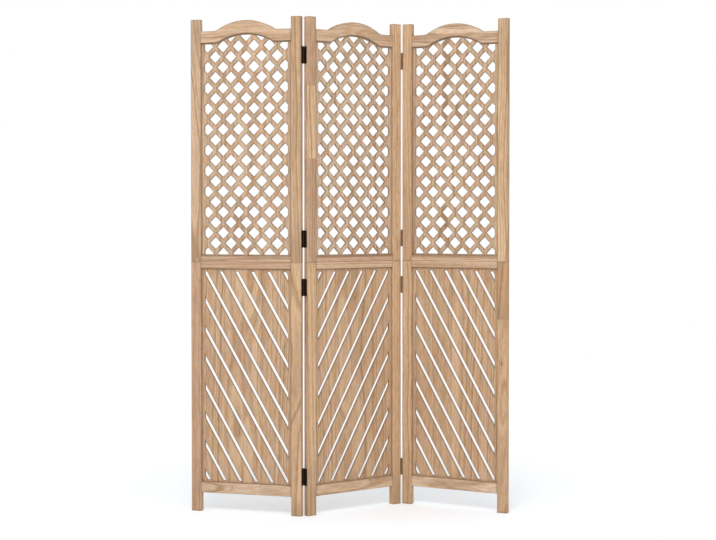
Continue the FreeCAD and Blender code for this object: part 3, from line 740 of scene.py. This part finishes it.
def wood(node, panel, upright, tone, figure, mottle, strips=None, rim=None):
    """The material of one wooden piece.

    figure gives the tree's heart aside and behind, its lean, the width of a ring, how
    much the grain bows, and at what height.
    mottle gives the strength of the orange, green and rosy patches.
    strips gives the width of the glued strips, where the first joint lies and how far
    a joint is dark.
    rim gives the distance to a cut edge, or to a rail's edge where a board meets it, how far the
    painted shade (with stain on the boards' cut edges) along it reaches, and how strongly.
    """
    piece = Timber(node, panel, upright, tone, figure)
    if strips:
        piece.glue_strips(*strips)
    piece.glue_blocks()
    piece.tone_side()
    piece.lay_grain()
    piece.grow_rings()
    piece.lay_patches(mottle)
    piece.shade_grain()
    piece.wear(rim)
    return piece.finish()


# Marks of the metal: waves per metre aside, behind and up; then seed, detail, roughness
GRIME = ((220.0, 220.0, 220.0), 7.0, 3.0, 0.6)
STREAK = ((90.0, 90.0, 900.0), 21.0, 2.0, 0.5)

# The metal's rubbed places, shine, dullness and relief
WORN_SPAN = (0.52, 0.72)
WORN_SHARE = 0.5
METALLIC, WORN_METALLIC = 0.45, 0.35
METAL_DULL, WORN_POLISH, STREAK_DULL = 0.62, 0.20, 0.12
METAL_BUMP, METAL_BUMP_DEPTH, STREAK_RELIEF = 0.25, 0.0002, 0.4


def metal(name, base, worn):
    """Dark hinge metal with rubbed, slightly brighter places."""
    material, tree = new_material(name)
    spot = tree.split(tree.node("ShaderNodeTexCoord", None, None, "Object"))
    grime, streak = tree.noise(spot, *GRIME), tree.noise(spot, *STREAK)
    wear = tree.smooth(grime, *WORN_SPAN)
    bump = tree.node("ShaderNodeBump", None,
                     {"Strength": METAL_BUMP, "Distance": METAL_BUMP_DEPTH,
                      "Height": grime + streak * STREAK_RELIEF})
    rough = METAL_DULL - wear * WORN_POLISH + (streak - 0.5) * STREAK_DULL
    shader = tree.node("ShaderNodeBsdfPrincipled", None,
                       {"Base Color": tree.mix(wear * WORN_SHARE, base, worn),
                        "Metallic": wear * WORN_METALLIC + METALLIC,
                        "Roughness": rough, "Normal": bump})
    tree.node("ShaderNodeOutputMaterial", None, {0: shader})
    return material


def brighter(base, gain, lift):
    return [min(1.0, value * gain + lift) for value in base]


def dress(node, material):
    """Gives a node that keeps its shape a new finish."""
    mesh = frame["nodes"][node].data
    mesh.materials.clear()
    mesh.materials.append(material)


# Tone of each wooden piece
TONES = {
    "left": {"upper_left_stile": "cream", "upper_right_stile": "tan",
             "lower_left_stile": "rosy", "lower_right_stile": "honey",
             "top_rail": "cream", "upper_mid_rail": "cream",
             "lower_mid_rail": "rosy", "bottom_rail": "linen",
             "lattice_panel": "ash", "slotted_panel": "tan"},
    "middle": {"upper_left_stile": "russet", "upper_right_stile": "straw",
               "lower_left_stile": "honey", "lower_right_stile": "honey",
               "top_rail": "cream", "upper_mid_rail": "rosy",
               "lower_mid_rail": "cream", "bottom_rail": "cream",
               "lattice_panel": "dove", "slotted_panel": "tan"},
    "right": {"upper_left_stile": "honey", "upper_right_stile": "straw",
              "lower_left_stile": "straw", "lower_right_stile": "honey",
              "top_rail": "linen", "upper_mid_rail": "cream",
              "lower_mid_rail": "cream", "bottom_rail": "linen",
              "lattice_panel": "ash", "slotted_panel": "tan"},
}

# Pieces glued from end to end: above which height another block follows, and its tone
BLOCKS = {
    "middle_upper_left_stile": ((1.221, "straw"), (1.468, "russet")),
    "right_lower_right_stile": ((0.670, "amber"),),
}

# Darker stretches of a stile: height of the middle, reach up and down, strength
STRETCHES = {
    "left_upper_left_stile": ((1.640, 0.18, 0.27), (1.245, 0.08, 0.14)),
    "left_lower_left_stile": ((0.470, 0.14, 0.14), (0.080, 0.18, 0.14)),
    "left_upper_right_stile": ((0.915, 0.12, 0.27), (1.350, 0.20, 0.09)),
    "left_lower_right_stile": ((0.480, 0.22, 0.20), (0.010, 0.06, 0.34)),
    "middle_lower_left_stile": ((0.060, 0.20, 0.28),),
    "middle_upper_right_stile": ((0.900, 0.08, 0.14),),
    "middle_lower_right_stile": ((0.030, 0.13, 0.30),),
    "right_upper_left_stile": ((1.010, 0.26, 0.17),),
    "right_lower_left_stile": ((0.820, 0.12, 0.12), (0.050, 0.18, 0.18)),
    "right_upper_right_stile": ((1.620, 0.26, 0.24),),
    "right_lower_right_stile": ((0.690, 0.06, 0.16), (0.150, 0.16, 0.14)),
}

# Sides of a piece painted unlike its face, as painted light or painted shade (on the boards, the
# painted shadow of the stile beside them): left -1 or right 1, reach, how much of it, and the paler
# tone of the painted light, or None for painted shade
PAINTED_SIDE_LIGHT_AND_SHADE = {
    "left_upper_left_stile": (1, 0.004, 0.55, "cream"),
    "left_lower_left_stile": (1, 0.004, 0.50, "rosy"),
    "left_upper_right_stile": (-1, 0.004, 0.15, None),
    "middle_upper_left_stile": (-1, 0.002, 1.00, "linen"),
    "middle_upper_right_stile": (-1, 0.004, 0.85, "honey"),
    "middle_lower_right_stile": (-1, 0.004, 0.80, "honey"),
    "right_lower_left_stile": (1, 0.004, 0.40, "straw"),
    "right_upper_right_stile": (1, 0.010, 0.24, None),
    "left_lattice_panel": (1, 0.018, 0.80, None),
    "left_slotted_panel": (1, 0.018, 0.50, None),
    "middle_lattice_panel": (-1, 0.020, 0.50, None),
    "right_lattice_panel": (-1, 0.016, 0.45, None),
}

# Knots: place across and up on the panel, and size
KNOTS = {
    "right_lower_right_stile": ((0.3808, 0.5153, 0.0032),),
}

# Pieces with a grain of their own, as the photograph shows it: see wood
FIGURES = {
    "left_upper_left_stile": (-0.020, 0.035, 0.100, 0.0085, 0.10, 1.45),
    "left_lower_right_stile": (0.010, 0.050, 0.0, 0.0120, 0.70, 0.590),
    "right_lower_right_stile": (0.008, 0.045, -0.110, 0.0105, 0.15, 0.300),
}


# The other pieces, flat-sawn or not: spans for the heart's place aside and behind and for
# its lean, and the width of a ring
HEARTS = {
    True: (((-0.012, 0.012), (0.030, 0.070), (-0.03, 0.03)), 0.0068),
    False: (((0.09, 0.20), (0.02, 0.09), (-0.02, 0.02)), 0.0075),
}


def figure_of(node, flat_sawn):
    """Where the tree's heart lay beside a piece: flat-sawn wood shows arches, the rest stripes."""
    if node in FIGURES:
        return FIGURES[node]
    draw = random.Random(node + " figure")
    side = 1 if flat_sawn else draw.choice((-1, 1))
    spans, ring = HEARTS[flat_sawn]
    aside, behind, lean = (draw.uniform(*span) for span in spans)
    return side * aside, behind, lean, ring, 0.0, 0.0


# Strength of the patches in the boards, the frames and the dowels
BOARD_MOTTLE, FRAME_MOTTLE, DOWEL_MOTTLE = 0.74, 0.40, 0.20

# Glued strips: width, where the first joint lies, how far a joint is dark
TOP_RAIL_STRIPS = (0.0445, 1.6375, 0.0032)
FRETWORK_STRIPS = (0.082, 0.041, 0.0013)
SLOTTED_STRIPS = (0.068, 0.052, 0.0013)

# Painted shade, with stain on the boards' cut edges, round a board's openings and beside its frame,
# and painted shade along the rails' edges that meet the boards: reach and strength
OPENING_STAIN_AND_SHADE = (0.0046, 0.58)
# Painted shadow lines along the rails' edges that meet a board, darkest on the middle panel's upper
# mid rail
RAIL_SHADOW_LINES = {
    "top_rail": (0.0040, 0.48),
    "upper_mid_rail": (0.0090, 0.45),
    "middle_upper_mid_rail": (0.0090, 0.62),
    "lower_mid_rail": (0.0050, 0.35),
}


# One operator for each piece or group of like pieces
class SCREEN_OT_frames(bpy.types.Operator):
    """Gives every stile and rail its own grain and tone"""

    bl_idname = "screen.frames"
    bl_label = "Finish stiles and rails"

    def execute(self, context):
        sizes = context.scene.screen_sizes
        # Distances from each rail's edges that meet a board, along which shadow lines are painted
        edges = {"top_rail": lambda x, z: top_rail_edge(x, z, sizes),
                 "upper_mid_rail": lambda x, z: sizes.window_low - z,
                 "lower_mid_rail": lambda x, z: z - sizes.lower_window_high}
        for panel in PANELS:
            for piece in STILES + RAILS:
                node = "%s_%s" % (panel, piece)
                rim = None
                if piece in edges:
                    rim = (edges[piece], *RAIL_SHADOW_LINES.get(node, RAIL_SHADOW_LINES[piece]))
                dress(node, wood(node, panel, piece in STILES, tint(TONES[panel][piece]),
                                 figure_of(node, piece in FLAT_SAWN), FRAME_MOTTLE,
                                 TOP_RAIL_STRIPS if piece == "top_rail" else None, rim))
        return {"FINISHED"}


class SCREEN_OT_dowels(bpy.types.Operator):
    """Finishes the hidden dowels between the upper and the lower frames"""

    bl_idname = "screen.dowels"
    bl_label = "Finish dowels"

    def execute(self, context):
        for panel in PANELS:
            node = panel + "_dowels"
            dress(node, wood(node, panel, True, tint("straw"), figure_of(node, False),
                             DOWEL_MOTTLE))
        return {"FINISHED"}


# Past this share of a board's thickness, counted from its middle, lie a cutter's mouths
OUTER_SHARE = 0.3


def fretwork_tree():
    """Cuts staggered diamonds, as far as the window reaches, out of a board."""
    tree = ShapeTree("fretwork")
    thick, ease, past = tree.size("Thickness"), tree.size("Ease"), tree.size("Past")
    half, step, rise = tree.size("Diamond half"), tree.size("Step"), tree.size("Rise")
    centre, top = tree.size("Centre"), tree.size("Top level")
    columns, rows = (tree.size(name, "NodeSocketInt") for name in ("Columns", "Rows"))
    board, window = tree.board_and_window()
    cutter = tree.node("GeometryNodeMeshCylinder", {"fill_type": "NGON"},
                       {"Vertices": 4, "Side Segments": 3, "Radius": half, "Depth": thick})
    cutter = flare(tree, cutter, thick, ease, past, lambda x, y, grow: (
        x * (1.0 + grow * math.sqrt(2.0) / half), y * (1.0 + grow * math.sqrt(2.0) / half)))
    grid = tree.node("GeometryNodeMeshGrid", None,
                     {"Size X": step * (columns - 1.0), "Size Y": rise * (rows - 1.0),
                      "Vertices X": columns, "Vertices Y": rows})
    x, y = tree.split(tree.node("GeometryNodeInputPosition"))[:2]
    column = (x / step + (columns - 1.0) * 0.5).rounded()
    row = (y / rise + (rows - 1.0) * 0.5).rounded()
    chosen = (column + row + 1.0) % 2.0 > 0.5
    cutters = tree.node("GeometryNodeInstanceOnPoints", None,
                        {"Points": grid, "Selection": chosen, "Instance": cutter})
    lift = tree.join(centre, top - rise * ((rows - 1.0) * 0.5 - 1.0))
    tree.cut(board, window, tree.node("GeometryNodeTransform", None,
                                      {"Geometry": tree.real(cutters), "Translation": lift}))
    return tree


def flare(tree, cutter, thick, ease, past, widen):
    """Opens a cutter's two mouths, so that what it cuts has eased edges."""
    x, y, z = tree.split(tree.node("GeometryNodeInputPosition"))
    outer = abs(z) > thick * OUTER_SHARE
    x, y = widen(x, y, outer * (ease + past))
    z = z.sign() * (thick * 0.5 - ease + outer * (ease + past))
    return tree.node("GeometryNodeSetPosition", None,
                     {"Geometry": cutter, "Position": tree.join(x, y, z)})


def slot_tree():
    """Cuts parallel slanting slots, as far as the window reaches, out of a board."""
    tree = ShapeTree("slots")
    thick, ease, past = tree.size("Thickness"), tree.size("Ease"), tree.size("Past")
    width, reach, fall = tree.size("Slot width"), tree.size("Slot length"), tree.size("Step down")
    slope, centre, top = tree.size("Slope"), tree.size("Centre"), tree.size("Top level")
    count = tree.size("Count", "NodeSocketInt")
    board, window = tree.board_and_window()
    cutter = tree.node("GeometryNodeMeshCube", None,
                       {"Size": tree.join(reach, width, thick), "Vertices X": 2,
                        "Vertices Y": 2, "Vertices Z": 4})
    cutter = flare(tree, cutter, thick, ease, past, lambda x, y, grow: (
        x, y * (1.0 + grow * 2.0 / width)))
    line = tree.node("GeometryNodeMeshLine", {"mode": "OFFSET", "count_mode": "TOTAL"},
                     {"Count": count, "Start Location": tree.join(centre, top),
                      "Offset": tree.join(0.0, fall * -1.0)})
    cutters = tree.node("GeometryNodeInstanceOnPoints", None,
                        {"Points": line, "Instance": cutter, "Rotation": tree.join(0.0, 0.0, slope)})
    tree.cut(board, window, tree.real(cutters))
    return tree


def build_board(panel, name, node, tree, outline, borders, strips, gap, values):
    """Cuts one board's openings and sets it in its panel.

    outline gives the frame's window between two sides, with its foot raised and its head
    lowered. borders gives the plain border at the sides, foot and head. gap gives the
    distance from the nearest opening.
    """
    sizes = bpy.context.scene.screen_sizes
    half = sizes.board_thick / 2

    def ring(depth, grow, side=0.0, foot=0.0, head=0.0):
        left = sizes.stile_width + side - grow
        return [(x, y, depth) for x, y in
                outline(left, sizes.panel_width - left, foot - grow, head - grow)]

    base = bmesh.new()
    loft(base, [ring(depth, sizes.tongue) for depth in (-half, half)], False)
    loft(base, [ring(depth, grow, *borders) for depth, grow in
                levels(sizes.board_thick, sizes.ease, OVERRUN)], True)
    tone = tint(TONES[panel][node])
    node = "%s_%s" % (panel, node)
    finish = wood(node, panel, True, tone, figure_of(node, True), BOARD_MOTTLE, strips,
                  (gap, *OPENING_STAIN_AND_SHADE))
    upright = Matrix.Rotation(math.pi / 2, 4, "X")
    place = stand(panel) @ Matrix.Translation((0.0, sizes.stile_thick / 2, 0.0)) @ upright
    piece = bake_tree("%s_%s" % (panel, name), base, tree, {
        "Thickness": sizes.board_thick, "Ease": sizes.ease, "Past": OVERRUN,
        "Centre": sizes.panel_width / 2, "Finish": finish, **values}, place)
    keep(piece, body_of(panel), "board_wood", node)


class SCREEN_OT_fretwork(bpy.types.Operator):
    """Builds the upper boards with their diamond openings"""

    bl_idname = "screen.fretwork"
    bl_label = "Build fretwork boards"

    def execute(self, context):
        sizes = context.scene.screen_sizes
        tree = fretwork_tree()

        def outline(left, right, foot, head):
            return arch_points(left, right, sizes.window_low + foot, sizes.window_flat - head,
                               sizes.window_crown - head, sizes.window_radius - head,
                               sizes.window_sweep + head)

        borders = (sizes.side_border, sizes.window_foot, sizes.window_arch)
        for panel in PANELS:
            build_board(panel, "fretwork_board", "lattice_panel", tree, outline, borders,
                        FRETWORK_STRIPS, lambda x, z: fretwork_gap(x, z, sizes), {
                            "Diamond half": sizes.diamond_half, "Step": sizes.diamond_step,
                            "Rise": sizes.diamond_rise, "Top level": sizes.diamond_top,
                            "Columns": sizes.diamond_columns, "Rows": sizes.diamond_rows})
        return {"FINISHED"}


class SCREEN_OT_slots(bpy.types.Operator):
    """Builds the lower boards with their slanting slots"""

    bl_idname = "screen.slots"
    bl_label = "Build slotted boards"

    def execute(self, context):
        sizes = context.scene.screen_sizes
        tree = slot_tree()

        def outline(left, right, foot, head):
            return box_points(left, right, sizes.lower_window_low + foot,
                              sizes.lower_window_high - head)

        borders = (sizes.side_border, sizes.lower_window_foot, sizes.lower_window_head)
        for panel in PANELS:
            slope = sizes.slot_slope * (1 if panel == "middle" else -1)
            fall = sizes.slot_pitch / math.cos(sizes.slot_slope)
            build_board(panel, "slotted_board", "slotted_panel", tree, outline, borders,
                        SLOTTED_STRIPS, lambda x, z: slot_gap(x, z, sizes, slope), {
                            "Slot width": sizes.slot_width, "Slot length": SLOT_LENGTH,
                            "Step down": fall, "Slope": slope,
                            "Top level": sizes.slot_level, "Count": sizes.slot_count})
        return {"FINISHED"}


# Metal of the hinges at each joint, and how much brighter are its rubbed places, the
# screws and their rubbed places: a factor and what is added to it
HINGE_METALS = {"left": "black_metal", "right": "bronze_metal"}
HINGE_WORN, SCREW_BASE, SCREW_WORN = (2.2, 0.02), (1.2, 0.0), (3.0, 0.05)


class SCREEN_OT_hinges(bpy.types.Operator):
    """Finishes the hinge leaves and pins"""

    bl_idname = "screen.hinges"
    bl_label = "Finish hinges"

    def execute(self, context):
        for side, name in HINGE_METALS.items():
            base = tint(name)
            material = metal(side + "_hinge_metal", base, brighter(base, *HINGE_WORN))
            for node in frame["nodes"]:
                if node.startswith(side + "_hinge") and not node.endswith("screws"):
                    dress(node, material)
        return {"FINISHED"}


# A screw in shares of its sizes: the cross recess along and across the head, its depth,
# and the shank's width where it enters the head
RECESS_SHARES = ((1.15, 0.24), (0.24, 1.15))
RECESS_DEPTH_SHARE = 1.1
SHANK_SHARE = 0.98
HEAD_SIDES, SHANK_SIDES = 24, 12


def screw_tree():
    """Sets a countersunk cross-head screw at every point of the base."""
    tree = ShapeTree("screws")
    head, shank = tree.size("Head radius"), tree.size("Shank radius")
    deep, whole = tree.size("Head depth"), tree.size("Length")
    twist = tree.size("Turn")

    def moved(shape, rise):
        return tree.node("GeometryNodeTransform", None,
                         {"Geometry": shape, "Translation": tree.join(0.0, 0.0, rise)})

    cone = moved(tree.node("GeometryNodeMeshCone", {"fill_type": "NGON"},
                           {"Vertices": HEAD_SIDES, "Radius Top": head,
                            "Radius Bottom": shank, "Depth": deep}), deep * -1.0)
    rod = moved(tree.node("GeometryNodeMeshCylinder", {"fill_type": "NGON"},
                          {"Vertices": SHANK_SIDES, "Radius": shank * SHANK_SHARE,
                           "Depth": whole - deep * 0.5}), (whole + deep * 0.5) * -0.5)
    bars = [tree.node("GeometryNodeMeshCube", None,
                      {"Size": tree.join(head * x, head * y, deep * RECESS_DEPTH_SHARE)})
            for x, y in RECESS_SHARES]
    screw = tree.boolean("DIFFERENCE", tree.boolean("UNION", cone, rod), *bars)
    tree.finish(tree.node("GeometryNodeInstanceOnPoints", None,
                          {"Points": tree.shape(), "Instance": screw,
                           "Rotation": tree.join(0.0, twist, 0.0)}))
    return tree


class SCREEN_OT_screws(bpy.types.Operator):
    """Builds the countersunk screws of every hinge leaf"""

    bl_idname = "screen.screws"
    bl_label = "Build hinge screws"

    def execute(self, context):
        tree = screw_tree()
        for side, flip in (("left", 0.0), ("right", math.pi)):
            base = tint(HINGE_METALS[side])
            finish = metal(side + "_screw_metal", brighter(base, *SCREW_BASE),
                           brighter(base, *SCREW_WORN))
            for role, panel, sign in (("outer", side, 1), ("inner", "middle", -1)):
                self.leaf_screws(tree, finish, "%s_hinge_%s" % (side, role), panel, sign,
                                 hinge_place(side) @ turned(panel, flip))
        return {"FINISHED"}

    def leaf_screws(self, tree, finish, name, panel, sign, place):
        """The screws of every leaf on one side of a hinge line."""
        sizes = bpy.context.scene.screen_sizes
        aside = sign * (sizes.leaf_thick - sizes.axis_offset)
        base = bmesh.new()
        for height in HINGE_HEIGHTS:
            for step in (-1, 0, 1):
                base.verts.new((aside, -sizes.screw_setback, height + step * sizes.screw_spacing))
        piece = bake_tree(name + "_cross_screws", base, tree, {
            "Head radius": sizes.screw_head, "Shank radius": sizes.screw_shank,
            "Head depth": sizes.leaf_thick, "Length": sizes.screw_length,
            "Turn": sign * math.pi / 2, "Finish": finish}, place)
        keep(piece, body_of(panel), "screw_metal", name + "_screws")


# Lamps: width, where each stands; both look at one point of the screen
LAMPS = {"key": (1.4, (-0.5, -3.4, 3.7)), "fill": (2.5, (1.6, -4.8, 2.2))}
LAMP_AIM = (0.0, 0.0, 0.8)
SENSOR_WIDTH, CLIP_END = 36.0, 60.0

# Floor: half its width, its own glow, how much sooner it turns white sideways, and
# between which distances it does
FLOOR_HALF, FLOOR_GLOW = 20.0, 0.27
FLOOR_SIDEWAYS, FLOOR_FADE = 2.6, (0.75, 1.7)
WHITE = (1.0, 1.0, 1.0, 1.0)


class SCREEN_OT_studio(bpy.types.Operator):
    """Sets the floor, the lamps, the backdrop and the camera"""

    bl_idname = "screen.studio"
    bl_label = "Set the studio"

    def execute(self, context):
        studio, scene = context.scene.screen_studio, context.scene
        scene.view_settings.view_transform = "Standard"
        self.floor(scene)
        self.backdrop(scene, studio)
        for name, (width, place) in LAMPS.items():
            self.lamp(name + "_lamp", getattr(studio, name + "_power"), width, Vector(place))
        data = bpy.data.cameras.new("camera")
        data.sensor_width, data.clip_end = SENSOR_WIDTH, CLIP_END
        data.lens, data.shift_y = studio.lens, studio.shift
        camera = bpy.data.objects.new("camera", data)
        camera.location = studio.place
        camera.rotation_euler = (math.pi / 2 - studio.pitch, 0.0, 0.0)
        scene.collection.objects.link(camera)
        scene.camera = camera
        return {"FINISHED"}

    def floor(self, scene):
        """A wide pale floor that keeps the shadow near the screen and turns white far off."""
        mesh = bpy.data.meshes.new("floor")
        mesh.from_pydata([(x * FLOOR_HALF, y * FLOOR_HALF, 0.0) for x, y in
                          ((-1, -1), (1, -1), (1, 1), (-1, 1))], [], [(0, 1, 2, 3)])
        piece = bpy.data.objects.new("floor", mesh)
        scene.collection.objects.link(piece)
        material, tree = new_material("floor")
        x, y = tree.split(tree.node("ShaderNodeTexCoord", None, None, "Object"))[:2]
        far = tree.smooth((x * x * FLOOR_SIDEWAYS + y * y) ** 0.5, *FLOOR_FADE)
        pale = (*tint("floor"), 1.0)
        matt = tree.node("ShaderNodeBsdfDiffuse", None, {"Color": pale})
        glow = tree.node("ShaderNodeEmission", None, {"Color": pale, "Strength": FLOOR_GLOW})
        lit = tree.node("ShaderNodeAddShader", None, {0: matt, 1: glow})
        white = tree.node("ShaderNodeEmission", None, {"Color": WHITE, "Strength": 1.0})
        shown = tree.node("ShaderNodeMixShader", None, {0: far, 1: lit, 2: white})
        both = tree.node("ShaderNodeMixShader", None, {0: self.seen(tree), 1: matt, 2: shown})
        tree.node("ShaderNodeOutputMaterial", None, {0: both})
        mesh.materials.append(material)

    def seen(self, tree):
        """1 for what the camera sees, straight, mirrored or through something."""
        camera, glossy, through = tree.node(
            "ShaderNodeLightPath", None, None,
            ("Is Camera Ray", "Is Glossy Ray", "Is Transmission Ray"))
        return camera.most(glossy).most(through)

    def backdrop(self, scene, studio):
        world = bpy.data.worlds.new("backdrop")
        scene.world = world
        world.use_nodes = True
        world.node_tree.nodes.clear()
        tree = Tree(world.node_tree)
        light = tree.node("ShaderNodeBackground", None,
                          {"Color": (*tint("daylight"), 1.0), "Strength": studio.ambient})
        white = tree.node("ShaderNodeBackground", None, {"Color": WHITE, "Strength": 1.0})
        both = tree.node("ShaderNodeMixShader", None, {0: self.seen(tree), 1: light, 2: white})
        tree.node("ShaderNodeOutputWorld", None, {0: both})

    def lamp(self, name, energy, width, place):
        data = bpy.data.lights.new(name, "AREA")
        data.energy, data.size = energy, width
        lamp = bpy.data.objects.new(name, data)
        lamp.location = place
        lamp.rotation_euler = (Vector(LAMP_AIM) - place).to_track_quat("-Z", "Y").to_euler()
        lamp.visible_camera = False
        bpy.context.scene.collection.objects.link(lamp)


class SCREEN_PT_sidebar(bpy.types.Panel):
    """Lists the steps that finish the screen, and what a user may change"""

    bl_label = "Fretwork screen"
    bl_idname = "SCREEN_PT_sidebar"
    bl_space_type = "VIEW_3D"
    bl_region_type = "UI"
    bl_category = "Screen"

    def draw(self, context):
        layout = self.layout
        for step in OPERATORS:
            layout.operator(step.bl_idname, text=step.bl_label)
        for group, label in ((context.scene.screen_sizes, "Sizes"),
                             (context.scene.screen_colours, "Colours"),
                             (context.scene.screen_studio, "Studio")):
            layout.label(text=label)
            for name in group.bl_rna.properties.keys():
                if name not in ("rna_type", "name"):
                    layout.prop(group, name)


GROUPS = {"screen_sizes": ScreenSizes, "screen_colours": ScreenColours,
          "screen_studio": ScreenStudio}
OPERATORS = (SCREEN_OT_frames, SCREEN_OT_dowels, SCREEN_OT_fretwork, SCREEN_OT_slots,
             SCREEN_OT_hinges, SCREEN_OT_screws, SCREEN_OT_studio)
CLASSES = (*GROUPS.values(), *OPERATORS, SCREEN_PT_sidebar)


def register():
    for item in CLASSES:
        bpy.utils.register_class(item)
    for name, group in GROUPS.items():
        setattr(bpy.types.Scene, name, PointerProperty(type=group))


def unregister():
    for name in GROUPS:
        delattr(bpy.types.Scene, name)
    for item in reversed(CLASSES):
        bpy.utils.unregister_class(item)


def main():
    register()
    bpy.ops.screen.frames()
    bpy.ops.screen.dowels()
    bpy.ops.screen.fretwork()
    bpy.ops.screen.slots()
    bpy.ops.screen.hinges()
    bpy.ops.screen.screws()
    bpy.ops.screen.studio()


if __name__ == "__main__":
    main()
